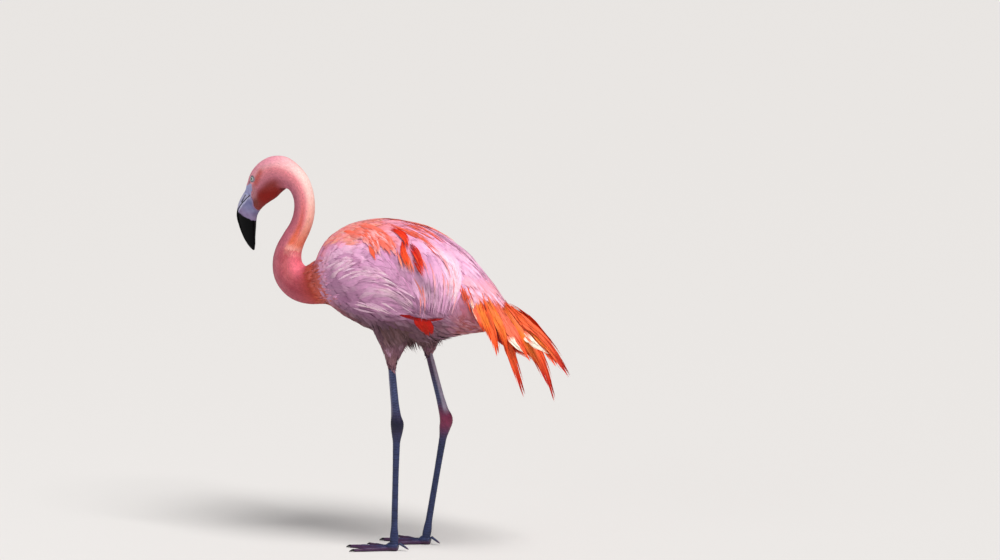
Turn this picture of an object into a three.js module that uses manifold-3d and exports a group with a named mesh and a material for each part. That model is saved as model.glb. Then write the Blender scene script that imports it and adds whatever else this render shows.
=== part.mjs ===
// A life-size Chilean flamingo standing at rest, neck in an S and bill pointing down.
// Millimetres, +Z up. The bird faces -Y, and its left side is +X. The soles lie on z = 0.
import * as THREE from "three";
import { mergeVertices } from "three/addons/utils/BufferGeometryUtils.js";
import Module from "manifold-3d";

const wasm = await Module();
wasm.setup();

// ---- driving dimensions ----
const GAP = 0.4; // between two pieces that meet
const FACET_EASE = 0.12; // facets closer to flat than this are merged
const ANKLE_HEIGHT = 218;
const STANCE_HALF = 35; // from the midline to each leg
const HEAD_TURN = THREE.MathUtils.degToRad(14); // the head looks this far to the bird's right
const NAPE = new THREE.Vector3(-12, -216, 0); // where the head starts, on plan
const EYE_RADIUS = 6.5;
const EYE = { forward: 56, up: 616, side: 11.6 };
const PLUME_HALF_THICKNESS = 1.6;
const WEB_THICKNESS = 3;

// ---- materials ----
const material = (color, roughness) =>
  new THREE.MeshStandardMaterial({ color, roughness, metalness: 0 });
const PINK = material(0xe9818c, 0.8);
const PALE_PINK = material(0xe8b4c4, 0.8);
const ORANGE = material(0xf0703c, 0.75);
const WHITE_HORN = material(0xcfcbd8, 0.45);
const BLACK_HORN = material(0x17171c, 0.35);
const YELLOW_EYE = material(0xd9d8a8, 0.15);
const GREY_SKIN = material(0x8087a6, 0.6);
const ROSE_SKIN = material(0xa8607c, 0.6);

// ---- solids ----
const point = (x, y, z) => new THREE.Vector3(x, y, z);
const TAILWARD = point(0, 1, 0);

// A closed three.js geometry as a manifold-3d solid.
function solid(geometry) {
  const plain = geometry.clone();
  plain.deleteAttribute("normal");
  plain.deleteAttribute("uv");
  const merged = mergeVertices(plain, 1e-4);
  return new wasm.Manifold(
    new wasm.Mesh({
      numProp: 3,
      vertProperties: merged.attributes.position.array,
      triVerts: new Uint32Array(merged.index.array),
    }),
  );
}

function meshOf(name, made, look) {
  const { numProp, numVert, vertProperties, triVerts } = made.getMesh();
  const positions = new Float32Array(numVert * 3);
  for (let i = 0; i < numVert; i++)
    positions.set(vertProperties.subarray(i * numProp, i * numProp + 3), i * 3);
  const geometry = new THREE.BufferGeometry()
    .setAttribute("position", new THREE.BufferAttribute(positions, 3))
    .setIndex(new THREE.BufferAttribute(triVerts, 1));
  geometry.computeVertexNormals();
  const mesh = new THREE.Mesh(geometry, look);
  mesh.name = name;
  return mesh;
}

// Sweeps an oval section through stations [x, y, z, up, down, side], where up and down are the
// section's half heights and side its half width. The stations run towards the tail.
// With a heading, every section faces that way instead of following the line.
function loft(
  stations,
  { sides = 20, rings = 24, turn = () => 0, roll = 0, swell = 0, boxy = 1, heading = null } = {},
) {
  const line = new THREE.CatmullRomCurve3(stations.map(([x, y, z]) => point(x, y, z)));
  const size = new THREE.CatmullRomCurve3(stations.map(([, , , up, down, side]) => point(up, down, side)));
  const geometry = new THREE.CylinderGeometry(1, 1, 1, sides, rings);
  const position = geometry.attributes.position;
  const endShift = swell > 0 ? swell : swell * 0.1;
  const rounded = (v) => Math.sign(v) * Math.abs(v) ** boxy;
  for (let i = 0; i < position.count; i++) {
    const share = 0.5 - position.getY(i);
    const across = rounded(position.getX(i));
    const along = rounded(position.getZ(i));
    const tangent = heading ?? line.getTangent(share);
    const lateral = point(1, 0, 0).applyAxisAngle(point(0, 0, 1), turn(share));
    lateral.addScaledVector(tangent, -lateral.dot(tangent)).normalize();
    const dorsal = lateral.clone().cross(tangent);
    lateral.applyAxisAngle(tangent, -roll);
    dorsal.applyAxisAngle(tangent, -roll);
    const { x: up, y: down, z: side } = size.getPoint(share);
    const place = line.getPoint(share);
    if (position.getY(i) === 0.5) place.addScaledVector(tangent, -endShift);
    if (position.getY(i) === -0.5) place.addScaledVector(tangent, endShift);
    place.addScaledVector(lateral, across * (side + swell));
    place.addScaledVector(dorsal, along * ((along > 0 ? up : down) + swell));
    position.setXYZ(i, place.x, place.y, place.z);
  }
  const made = solid(geometry);
  return made.volume() > 0 ? made : solid(flipped(geometry));
}

function flipped(geometry) {
  const turned = geometry.clone();
  const index = turned.index.array;
  for (let i = 0; i < index.length; i += 3) [index[i + 1], index[i + 2]] = [index[i + 2], index[i + 1]];
  return turned;
}

// A thin wall through side points [forward, up], square to the head's own upright plane, that parts the head.
function sideWall(points, place) {
  const half = GAP / 2;
  const run = points.map(([f, u]) => new THREE.Vector2(f, u));
  const normals = run.map((p, i) => {
    const along = run[Math.min(i + 1, run.length - 1)].clone().sub(run[Math.max(i - 1, 0)]).normalize();
    return new THREE.Vector2(-along.y, along.x).multiplyScalar(half);
  });
  const outline = [
    ...run.map((p, i) => p.clone().add(normals[i])),
    ...run.map((p, i) => p.clone().sub(normals[i])).reverse(),
  ];
  const geometry = new THREE.ExtrudeGeometry(new THREE.Shape(outline), { depth: 120, bevelEnabled: false });
  geometry.translate(0, 0, -60);
  const position = geometry.attributes.position;
  for (let i = 0; i < position.count; i++) {
    const at = place(position.getX(i), position.getY(i), position.getZ(i));
    position.setXYZ(i, at.x, at.y, at.z);
  }
  const made = solid(geometry);
  return made.volume() > 0 ? made : solid(flipped(indexed(geometry)));
}

function indexed(geometry) {
  const bare = new THREE.BufferGeometry().setAttribute("position", geometry.attributes.position);
  return mergeVertices(bare, 1e-4);
}

// A thin square plate across a limb, centred on a point and facing along a direction.
function plate(centre, direction, width) {
  const geometry = new THREE.BoxGeometry(width, width, GAP);
  const turn = new THREE.Quaternion().setFromUnitVectors(point(0, 0, 1), direction.clone().normalize());
  geometry.applyQuaternion(turn);
  geometry.translate(centre.x, centre.y, centre.z);
  return solid(geometry);
}

const centreOf = (made) => {
  const { min, max } = made.boundingBox();
  return point(...min.map((low, i) => (low + max[i]) / 2));
};

// The largest separate body of a solid whose box centre is nearest to a place.
function pick(made, place) {
  const bodies = made.decompose().filter((body) => body.volume() > 20);
  return bodies.sort((a, b) => centreOf(a).distanceTo(place) - centreOf(b).distanceTo(place))[0];
}

// ---- head, bill and eyes ----
// A place in the head's own upright plane: forward and up, and out to the bird's left.
function headPlace(forward, up, side = 0) {
  const heading = point(0, -1, 0).applyAxisAngle(point(0, 0, 1), -HEAD_TURN);
  const left = point(1, 0, 0).applyAxisAngle(point(0, 0, 1), -HEAD_TURN);
  return NAPE.clone()
    .setZ(up)
    .addScaledVector(heading, forward)
    .addScaledVector(left, side);
}

// [forward, up, half depth, half width] from the bill's tip to the nape.
const HEAD_SECTIONS = [
  [66.5, 491.5, 1.5, 1.2],
  [70, 500, 6.5, 4.5],
  [75.1, 514.2, 11.6, 7.4],
  [78.4, 529.5, 15.6, 10],
  [80.2, 543.6, 18, 12],
  [79.6, 555.2, 19.6, 13.2],
  [76, 565, 20.2, 13.4],
  [69.5, 574.5, 21, 13],
  [62, 583, 23.4, 13],
  [55.5, 591.5, 27.2, 15.2],
  [48.5, 600.5, 31.2, 18.8],
  [40.6, 609.4, 33.4, 21.4],
  [29.6, 619.6, 33.4, 23],
  [16.8, 626.6, 32.4, 23.2],
  [2, 629, 29, 22.2],
];
const NECK_SECTIONS = [
  [-10.5, -195, 618.5, 21.6, 20],
  [-9.5, -183.5, 601.5, 19.2, 18.4],
  [-8.5, -178.5, 580.5, 18.6, 17.8],
  [-7, -180, 556.5, 19, 18.2],
  [-6, -187, 536.5, 19.6, 18.6],
  [-5, -197.5, 517.5, 21, 19.6],
  [-4, -206.5, 496, 23.8, 21.6],
  [-3, -208.5, 476, 26.6, 24],
  [-2, -202.5, 458, 29.4, 26.4],
  [-1, -187, 444.5, 31.4, 28.6],
  [0, -165, 441.5, 34, 32],
  [0, -138, 450, 40, 40],
  [0, -105, 462, 44, 48],
];

function headAndNeck() {
  const head = HEAD_SECTIONS.map(([forward, up, depth, width]) => {
    const { x, y, z } = headPlace(forward, up);
    return [x, y, z, depth, depth, width];
  });
  const neck = NECK_SECTIONS.map(([x, y, z, depth, width]) => [x, y, z, depth, depth, width]);
  const stations = [...head, ...neck];
  const turned = head.length / stations.length;
  const turn = (share) => -HEAD_TURN * (1 - THREE.MathUtils.smoothstep(share, turned * 0.8, turned * 1.25));
  return loft(stations, { sides: 14, rings: 46, turn, boxy: 0.93 });
}

// Side lines [forward, up]: where the horn of the bill starts, and where the mouth closes.
const BILL_EDGE = [
  [100, 605],
  [88, 592],
  [66, 589],
  [60.5, 584],
  [58, 577],
  [58, 569],
  [54, 561],
  [40, 550],
];
const BLACK_EDGE = [
  [106, 563],
  [94.2, 559.5],
  [86.5, 555.1],
  [78.5, 550.7],
  [68.6, 546.1],
  [60, 541],
  [48, 536],
];
const MOUTH_LINE = [
  [57, 597],
  [65, 587.5],
  [74, 579.5],
  [84, 569.5],
  [91, 560],
  [92.5, 547],
  [88, 530],
  [80.5, 512],
  [70, 496],
  [62, 484],
];

function splitHead(whole) {
  const trimmed = whole.subtract(sideWall(BILL_EDGE, headPlace));
  const bill = pick(trimmed, headPlace(76, 545));
  const rest = pick(trimmed, headPlace(-10, 540));
  const jaws = bill.subtract(sideWall(MOUTH_LINE, headPlace)).subtract(sideWall(BLACK_EDGE, headPlace));
  return {
    rest,
    upper: pick(jaws, headPlace(86, 580)),
    lower: pick(jaws, headPlace(62, 570)),
    upperTip: pick(jaws, headPlace(92, 530)),
    lowerTip: pick(jaws, headPlace(66, 535)),
  };
}

function eyeball(side, swell = 0) {
  const geometry = new THREE.SphereGeometry(EYE_RADIUS + swell, 12, 8);
  const { x, y, z } = headPlace(EYE.forward, EYE.up, side * EYE.side);
  return solid(geometry.translate(x, y, z));
}

// ---- trunk, thighs and tail ----
// [y, top, bottom, half width] from the breast to the rump.
const TRUNK_SECTIONS = [
  [-150, 474, 446, 14],
  [-144, 498, 431, 36],
  [-126, 526, 411, 57],
  [-95, 548, 390, 73],
  [-55, 559, 372, 81],
  [-12, 561, 360, 84],
  [30, 554, 355, 82],
  [68, 539, 361, 75],
  [105, 515, 369, 62],
  [140, 481, 375, 45],
  [168, 443, 380, 30],
  [190, 412, 388, 14],
];
const WING_STAND = 3; // the folded wings stand out this far from the trunk
const WING_DEPTH = 9; // and are this thick

function trunkForm(swell = 0) {
  const stations = TRUNK_SECTIONS.map(([y, top, bottom, side]) => {
    const z = (top + bottom) / 2;
    return [0, y, z, top - z, z - bottom, side];
  });
  return loft(stations, { sides: 20, rings: 13, boxy: 0.94, heading: TAILWARD, swell });
}

// Side outline [y, z] of a folded wing, from the shoulder round its lower edge to the back.
const WING_EDGE = [
  [-170, 470],
  [-140, 448],
  [-108, 421],
  [-62, 405],
  [-10, 400],
  [42, 405],
  [84, 407],
  [122, 402],
  [160, 391],
  [215, 372],
  [215, 600],
  [-170, 600],
];

function wingPrism(grow = 0) {
  const lower = WING_EDGE.length - 2; // the corners after these close the outline above the back
  const corners = WING_EDGE.map(([y, z], i) => new THREE.Vector2(y, z - (i < lower ? grow : 0)));
  const outline = new THREE.Shape(corners);
  const geometry = new THREE.ExtrudeGeometry(outline, { depth: 300, bevelEnabled: false });
  geometry.translate(0, 0, -150);
  const axes = new THREE.Matrix4().makeBasis(point(0, 1, 0), point(0, 0, 1), point(1, 0, 0));
  return solid(geometry.applyMatrix4(axes));
}

// The trunk is hollowed where the wings lie on it.
function trunk() {
  const core = trunkForm(WING_STAND - WING_DEPTH - GAP);
  return trunkForm().subtract(wingPrism(GAP)).add(core);
}

// [out from the midline, y, z, half depth, half width] from inside the body down to the bare leg.
const THIGHS = {
  left: [
    [42, -8, 430, 36, 26],
    [39, -3, 385, 35, 27],
    [37, -1.5, 359, 26, 22],
    [36, -3, 342, 17, 15.5],
    [35.3, -4.2, 330, 10.4, 9.6],
    [35, -4.8, 320, 7.4, 6.6],
  ],
  right: [
    [42, 22, 430, 40, 26],
    [39, 27, 390, 38, 26],
    [37, 33, 364, 27, 20],
    [36, 36, 352, 18, 14],
    [35.3, 35.4, 344, 10.6, 9],
    [35, 34.6, 336, 7.2, 6.4],
  ],
};

function thigh(name, sign, swell = 0) {
  const stations = THIGHS[name].map(([x, y, z, depth, width]) => [sign * x, y, z, depth, depth, width]);
  return loft(stations, { sides: 14, rings: 8, swell });
}

// Each tail feather is a broad blade, and together they make a fan.
const TAIL_FEATHERS = 3;
const TAIL_SPREAD = 30;

function tail() {
  let fan;
  for (let i = 0; i < TAIL_FEATHERS; i++) {
    const out = (2 * i) / (TAIL_FEATHERS - 1) - 1; // -1 to 1 across the fan
    const drop = 10 * out * out;
    const feather = loft(
      [
        [out * 8, 130, 408 - drop * 0.3, 9, 9, 12],
        [out * 15, 172, 394 - drop * 0.5, 5, 5, 15],
        [out * 23, 215, 374 - drop, 2.6, 2.6, 16],
        [out * TAIL_SPREAD, 250 - 14 * out * out, 354 - drop, 1.6, 1.6, 10],
        [out * TAIL_SPREAD * 1.06, 264 - 16 * out * out, 348 - drop, 0.9, 0.9, 4],
      ],
      { sides: 6, rings: 4 },
    );
    fan = fan ? fan.add(feather) : feather;
  }
  return fan;
}

// ---- wings ----
// Long plumes of the left wing: root, middle and tip [out, y, z], half width, and the lean
// of the blade's upper edge towards the midline in degrees.
const LEFT_PLUMES = [
  [[12, 124, 484], [17, 214, 396], [20, 308, 317], 14, 52],
  [[16, 118, 474], [24, 208, 386], [27, 272, 359], 19, 46],
  [[18, 118, 466], [28, 212, 374], [30, 286, 274], 12, 36],
  [[20, 118, 456], [31, 205, 371], [33, 270, 300], 10, 32],
  [[24, 118, 446], [34, 185, 377], [37, 214, 356], 13, 30],
  [[26, 118, 437], [36, 185, 363], [39, 233, 280], 10, 22],
  [[30, 118, 427], [38, 158, 384], [41, 185, 347], 9, 16],
];
// The right wing lies a little further forward and lower, more so away from the midline.
const RIGHT_LAG = [-0.73, -0.32];
const RIGHT_PLUMES = LEFT_PLUMES.map(([root, middle, tip, half, lean]) => {
  const set = ([out, y, z]) => [out, y + RIGHT_LAG[0] * out, z + RIGHT_LAG[1] * out];
  const shorter = middle.map((value, i) => value + (tip[i] - value) * 0.9);
  return [root, set(middle), set(shorter), half, lean];
});
const PLUMES = { left: LEFT_PLUMES, right: RIGHT_PLUMES };

// The half of space on one side of the midline, less the gap.
function halfSpace(sign) {
  return solid(new THREE.BoxGeometry(300, 900, 900).translate(sign * (150 + GAP / 2), 0, 400));
}

function wingShell(sign) {
  const layer = trunkForm(WING_STAND).subtract(trunkForm(WING_STAND - WING_DEPTH));
  return layer.intersect(wingPrism()).intersect(halfSpace(sign));
}

function plume([root, middle, tip, half, lean], sign, swell = 0) {
  const [a, b, c] = [root, middle, tip].map(([out, y, z]) => point(sign * out, y, z));
  const quarter = a.clone().lerp(b, 0.5).add(point(0, 3, 3));
  const late = b.clone().lerp(c, 0.55).add(point(0, 3, 3));
  const stations = [[a, 0.6], [quarter, 1], [b, 1], [late, 0.72], [c, 0.12]].map(([p, share]) => [
    p.x, p.y, p.z, half * share, half * share, PLUME_HALF_THICKNESS,
  ]);
  return loft(stations, { sides: 6, rings: 6, swell, roll: sign * THREE.MathUtils.degToRad(lean) });
}

function wing(name, sign) {
  const plumes = PLUMES[name].map((one) => plume(one, sign)).reduce((made, one) => made.add(one));
  const clear = plumes.subtract(trunkForm(GAP)).intersect(halfSpace(sign));
  return wingShell(sign).add(clear);
}

// ---- legs and feet ----
// Ankle and foot places [y] for each side: the left leg is nearly upright, the right one trails.
const LEGS = {
  left: { ankle: 4.6, foot: -1 },
  right: { ankle: 66.8, foot: 31 },
};
const FOOT_TOP = 15;

function bareLeg(name, sign) {
  const { ankle, foot } = LEGS[name];
  const [, kneeY, kneeZ] = THIGHS[name].at(-1);
  const x = sign * STANCE_HALF;
  const { lerp } = THREE.MathUtils;
  const lower = (share) => [x, lerp(foot, ankle, share), lerp(FOOT_TOP, ANKLE_HEIGHT, share)];
  const upper = (share) => [x, lerp(ankle, kneeY, share), lerp(ANKLE_HEIGHT, kneeZ, share)];
  // [place, half depth ahead, half depth behind, half width] from the top of the shin down.
  const stations = [
    [upper(1.06), 5.6, 5.6, 5],
    [upper(0.8), 6.4, 6.4, 5.6],
    [upper(0.35), 7, 7, 6],
    [upper(0.14), 8.4, 8.8, 7.4],
    [upper(0), 10.4, 12.2, 9.4],
    [lower(0.93), 8.8, 10.4, 8.2],
    [lower(0.84), 6, 6.6, 5.6],
    [lower(0.5), 5.2, 5.4, 4.6],
    [lower(0.14), 5.6, 5.8, 5],
    [lower(0.03), 7.2, 7.6, 7.4],
    [lower(-0.04), 6.4, 6.6, 7],
  ].map(([[px, py, pz], ahead, behind, side]) => [px, py, pz, behind, ahead, side]);
  return loft(stations, { sides: 10, rings: 26 });
}

// Toes: [turn out in degrees, length, half width at the root].
const TOES = { inner: [-27, 62, 5], middle: [1, 80, 5.6], outer: [28, 70, 5] };
const CLAW_LENGTH = 8;
// [share of the toe's length, share of its half width]: a toe swells at each joint.
const TOE_SIZES = [
  [0.98, 0.5],
  [0.93, 0.62],
  [0.74, 0.7],
  [0.66, 0.84],
  [0.45, 0.76],
  [0.36, 0.92],
  [0.12, 1],
  [-0.06, 0.9],
];
const CLAW_SIZES = [
  [CLAW_LENGTH, 0.9, 0.3],
  [CLAW_LENGTH * 0.5, 2, 0.75],
  [0, 2.6, 1],
];

function toeTip(name, sign, footY, share = 1) {
  const [degrees, length] = TOES[name];
  const turn = THREE.MathUtils.degToRad(degrees) * sign;
  const along = length * share;
  return point(sign * STANCE_HALF + Math.sin(turn) * along, footY - Math.cos(turn) * along, 0);
}

function toe(name, sign, footY) {
  const half = TOES[name][2];
  const stations = TOE_SIZES.map(([share, size]) => {
    const place = toeTip(name, sign, footY, share);
    return [place.x, place.y, half * size * 0.72, half * size * 0.95, half * size * 0.72, half * size];
  });
  return loft(stations, { sides: 7, rings: 8 });
}

function web(sign, footY) {
  const at = (name, share) => toeTip(name, sign, footY, share);
  const outline = new THREE.Shape();
  const bay = (from, to) => {
    const start = at(from, 0.86);
    const end = at(to, 0.86);
    const dip = at(from, 0.6).lerp(at(to, 0.6), 0.5);
    outline.lineTo(start.x, start.y);
    outline.quadraticCurveTo(dip.x, dip.y, end.x, end.y);
  };
  outline.moveTo(at("middle", -0.06).x, at("middle", -0.06).y);
  bay("inner", "middle");
  bay("middle", "outer");
  const options = { depth: WEB_THICKNESS, bevelEnabled: false, curveSegments: 5 };
  return solid(new THREE.ExtrudeGeometry(outline, options));
}

// Keeps what lies above the floor, so that each sole is flat.
function aboveFloor(made) {
  return made.subtract(solid(new THREE.BoxGeometry(400, 400, 40).translate(0, 0, -20)));
}

function foot(name, sign) {
  const footY = LEGS[name].foot;
  const heel = loft(
    [
      [sign * STANCE_HALF, footY - 12, 5, 5, 5.6, 9],
      [sign * STANCE_HALF, footY - 3, 7.5, 8.5, 8, 10],
      [sign * STANCE_HALF, footY + 7, 6.5, 6, 7, 7],
    ],
    { sides: 8, rings: 4 },
  );
  const toes = Object.keys(TOES).map((one) => toe(one, sign, footY));
  return aboveFloor(toes.reduce((made, one) => made.add(one), web(sign, footY).add(heel)));
}

function claw(name, sign, footY) {
  const half = TOES[name][2] * 0.4;
  const [, length] = TOES[name];
  const at = (extra) => toeTip(name, sign, footY, 0.98 + (GAP + extra) / length);
  const stations = CLAW_SIZES.map(([extra, up, size]) => {
    const place = at(extra);
    return [place.x, place.y, up, half * size * 0.9, half * size * 0.9, half * size];
  });
  return aboveFloor(loft(stations, { sides: 6, rings: 3 }));
}

function hindToe(name, sign) {
  const y = LEGS[name].foot;
  const x = sign * STANCE_HALF;
  return loft(
    [
      [x - sign * 1, y + 9.2, 13, 2.6, 2.6, 2.6],
      [x - sign * 1.4, y + 15, 9.6, 2.4, 2.4, 2.4],
      [x - sign * 2, y + 22, 5.4, 1.9, 1.9, 1.8],
      [x - sign * 2.2, y + 26, 3, 0.8, 0.8, 0.7],
    ],
    { sides: 6, rings: 5 },
  );
}

// ---- the whole bird, parted into its pieces ----
const SIDES = [["left", 1], ["right", -1]];
const meshes = [];
const keep = (name, made, look) => meshes.push(meshOf(name, made.simplify(FACET_EASE), look));

const head = splitHead(headAndNeck());
keep("bill_upper", head.upper, WHITE_HORN);
keep("bill_lower", head.lower, WHITE_HORN);
keep("bill_upper_tip", head.upperTip, BLACK_HORN);
keep("bill_lower_tip", head.lowerTip, BLACK_HORN);

// Cuts across the neck: [section, plate width], from the nape down.
const NECK_CUTS = [[0, 66], [4, 52], [8, 66]];
const wings = SIDES.map(([name, sign]) => wing(name, sign));
const bodyCutter = trunkForm(GAP).add(trunkForm(WING_STAND + GAP).intersect(wingPrism(GAP)));
const plumeCutter = SIDES.flatMap(([name, sign]) => PLUMES[name].map((one) => plume(one, sign, GAP)))
  .reduce((made, one) => made.add(one));

let flesh = head.rest.subtract(bodyCutter);
for (const [, sign] of SIDES) flesh = flesh.subtract(eyeball(sign, GAP));
for (const [index, width] of NECK_CUTS) {
  const [before, centre, after] = [index - 1, index, index + 1].map((i) =>
    i < 0 ? headPlace(2, 629) : point(...NECK_SECTIONS[i].slice(0, 3)),
  );
  flesh = flesh.subtract(plate(centre, after.sub(before), width));
}
keep("head", pick(flesh, headPlace(40, 612)), PINK);
keep("neck_upper", pick(flesh, point(-8, -180, 590)), PINK);
keep("neck_middle", pick(flesh, point(-5, -195, 505)), PINK);
keep("neck_lower", pick(flesh, point(-1, -185, 445)), PINK);
keep("trunk", pick(trunk(), point(0, 10, 460)), PALE_PINK);
keep("tail", pick(tail().subtract(bodyCutter).subtract(plumeCutter), point(0, 215, 370)), PALE_PINK);

for (const [name, sign] of SIDES) {
  const { ankle, foot: footY } = LEGS[name];
  const middle = sign * STANCE_HALF;
  const [, kneeY] = THIGHS[name].at(-1);
  keep(`wing_${name}`, pick(wings[sign > 0 ? 0 : 1], point(sign * 40, 60, 450)), ORANGE);
  keep(`eye_${name}`, eyeball(sign), YELLOW_EYE);
  const thighMade = thigh(name, sign).subtract(bodyCutter);
  keep(`thigh_${name}`, pick(thighMade, point(middle, kneeY, 340)), PALE_PINK);
  const footMade = foot(name, sign);
  const footCutter = grown(footMade);
  let leg = bareLeg(name, sign).subtract(thigh(name, sign, GAP)).subtract(footCutter);
  for (const height of [ANKLE_HEIGHT + 16, ANKLE_HEIGHT - 22])
    leg = leg.subtract(plate(point(middle, ankle, height), point(0, 0, 1), 50));
  keep(`shin_${name}`, pick(leg, point(middle, ankle, 275)), GREY_SKIN);
  keep(`ankle_${name}`, pick(leg, point(middle, ankle, ANKLE_HEIGHT - 4)), ROSE_SKIN);
  keep(`shank_${name}`, pick(leg, point(middle, footY, 100)), GREY_SKIN);
  keep(`foot_${name}`, footMade, GREY_SKIN);
  const hindMade = hindToe(name, sign).subtract(footCutter);
  keep(`hind_toe_${name}`, pick(hindMade, point(middle, footY + 20, 8)), GREY_SKIN);
  for (const one of Object.keys(TOES)) keep(`claw_${one}_${name}`, claw(one, sign, footY), BLACK_HORN);
}

// The foot moved a little each way, to leave a gap round it.
function grown(made) {
  const shifts = [[0, 0, GAP], [0, GAP, 0], [0, -GAP, 0], [GAP, 0, 0], [-GAP, 0, 0]];
  return shifts.reduce((sum, shift) => sum.add(made.translate(shift)), made);
}

const bird = new THREE.Group();
bird.add(...meshes);
const box = new THREE.Box3().setFromObject(bird);
const middle = box.getCenter(new THREE.Vector3());
bird.position.set(-middle.x, -middle.y, -box.min.z);

export default bird;
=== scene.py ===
"""A life-size standing Chilean flamingo, as a still museum-style model on a plain pale floor.

Lengths are in millimetres in the bird's own frame (it faces -Y, its left is +X, the soles are on z = 0)
until a mesh is made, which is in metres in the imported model's frame."""
import math

import bpy
import numpy as np
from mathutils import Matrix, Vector
from mathutils.bvhtree import BVHTree


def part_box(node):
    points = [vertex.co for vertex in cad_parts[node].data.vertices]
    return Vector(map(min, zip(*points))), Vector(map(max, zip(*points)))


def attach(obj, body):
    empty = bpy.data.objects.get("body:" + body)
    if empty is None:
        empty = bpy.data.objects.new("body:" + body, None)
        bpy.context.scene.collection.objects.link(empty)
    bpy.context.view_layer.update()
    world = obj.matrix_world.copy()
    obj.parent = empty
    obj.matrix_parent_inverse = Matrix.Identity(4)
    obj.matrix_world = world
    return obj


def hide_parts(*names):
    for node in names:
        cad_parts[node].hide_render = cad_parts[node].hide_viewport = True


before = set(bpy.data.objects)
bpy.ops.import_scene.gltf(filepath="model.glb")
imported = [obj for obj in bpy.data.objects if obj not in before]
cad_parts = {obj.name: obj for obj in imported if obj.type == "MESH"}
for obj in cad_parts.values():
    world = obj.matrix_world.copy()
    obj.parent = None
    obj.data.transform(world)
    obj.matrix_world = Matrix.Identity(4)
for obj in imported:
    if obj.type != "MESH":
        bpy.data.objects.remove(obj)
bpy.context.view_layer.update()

# ---------------------------------------------------------------- sizes, as in the solids
HEAD_TURN = math.radians(14)  # the head looks this far to the bird's right
NAPE = np.array([-12.0, -216.0])
EYE_RADIUS = 6.5
EYE_FORWARD, EYE_UP, EYE_SIDE = 56.0, 616.0, 11.6
STANCE_HALF = 35.0
ANKLE_HEIGHT = 218.0
FOOT_TOP = 15.0
WING_STAND = 3.0  # how far the folded wings stand out from the trunk
COAT_TRUNK, COAT_NECK, COAT_THIGH = 4.2, 1.1, 3.0  # how deep the skin lies under the tips of the coat
HEAD_INSET = 0.4  # and how much deeper still on the head and neck
BODY_VOXEL, FOOT_VOXEL = 2.6, 1.0
HEAD_RINGS, HEAD_SIDES = 340, 72
HEAD_END = 0.80  # the fine head and neck end here, inside the body's even mesh
LEG_RINGS, LEG_SIDES = 392, 24
BILL_RINGS, BILL_SIDES = 170, 64
SCUTE_PITCH = 4.4  # the cross plates down the front of a leg
LEG_TOP = {"left": 322.0, "right": 338.0}  # where the feathers of the thighs end
BAKE_PATCH = 0.003  # how much of the map OFBake one blade takes

# [forward, up, half depth, half width] from the bill's tip to the nape.
HEAD_SECTIONS = [
    (66.5, 491.5, 1.5, 1.2), (70, 500, 6.5, 4.5), (75.1, 514.2, 11.6, 7.4), (78.4, 529.5, 15.6, 10),
    (80.2, 543.6, 18, 12), (79.6, 555.2, 19.6, 13.2), (76, 565, 20.2, 13.4), (69.5, 574.5, 21, 13),
    (62, 583, 23.4, 13), (55.5, 591.5, 27.2, 15.2), (48.5, 600.5, 31.2, 18.8), (40.6, 609.4, 33.4, 21.4),
    (29.6, 619.6, 33.4, 23), (16.8, 626.6, 32.4, 23.2), (2, 629, 29, 22.2),
]
# [x, y, z, half depth, half width] from the nape to the inside of the breast.
NECK_SECTIONS = [
    (-10.5, -195, 618.5, 21.6, 20), (-9.5, -183.5, 601.5, 19.2, 18.4), (-8.5, -178.5, 580.5, 18.6, 17.8),
    (-7, -180, 556.5, 19, 18.2), (-6, -187, 536.5, 19.6, 18.6), (-5, -197.5, 517.5, 21, 19.6),
    (-4, -206.5, 496, 23.8, 21.6), (-3, -208.5, 476, 26.6, 24), (-2, -202.5, 458, 29.4, 26.4),
    (-1, -187, 444.5, 31.4, 28.6), (0, -165, 441.5, 34, 32), (0, -138, 450, 40, 40), (0, -105, 462, 44, 48),
]
# [y, top, bottom, half width] from the breast to the rump.
TRUNK_SECTIONS = [
    (-150, 474, 446, 14), (-144, 498, 431, 36), (-126, 526, 411, 57), (-95, 548, 390, 73),
    (-55, 559, 372, 81), (-12, 561, 360, 84), (30, 554, 355, 82), (68, 539, 361, 75),
    (105, 515, 369, 62), (140, 481, 375, 45), (168, 443, 380, 30), (190, 412, 388, 14),
]
# [out, y, z, half depth, half width] from inside the body down to the bare leg.
THIGHS = {
    "left": [(42, -8, 430, 36, 26), (39, -3, 385, 35, 27), (37, -1.5, 359, 26, 22), (36, -3, 342, 17, 15.5),
             (35.3, -4.2, 330, 10.4, 9.6), (35, -4.8, 320, 7.4, 6.6)],
    "right": [(42, 22, 430, 40, 26), (39, 27, 390, 38, 26), (37, 33, 364, 27, 20), (36, 36, 352, 18, 14),
              (35.3, 35.4, 344, 10.6, 9), (35, 34.6, 336, 7.2, 6.4)],
}
LEGS = {"left": (4.6, -1.0), "right": (66.8, 31.0)}  # y of the ankle and of the foot
TOES = {"inner": (-27, 62, 5.0), "middle": (1, 80, 5.6), "outer": (28, 70, 5.0)}  # degrees, length, half
SIDES = (("left", 1), ("right", -1))
# Side outline [y, z] of a folded wing's lower edge, from the shoulder back.
WING_EDGE = np.array([(-170, 470), (-140, 448), (-108, 421), (-62, 405), (-10, 400), (42, 405), (84, 407),
                      (122, 402), (160, 391), (215, 372)], float)

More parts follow.
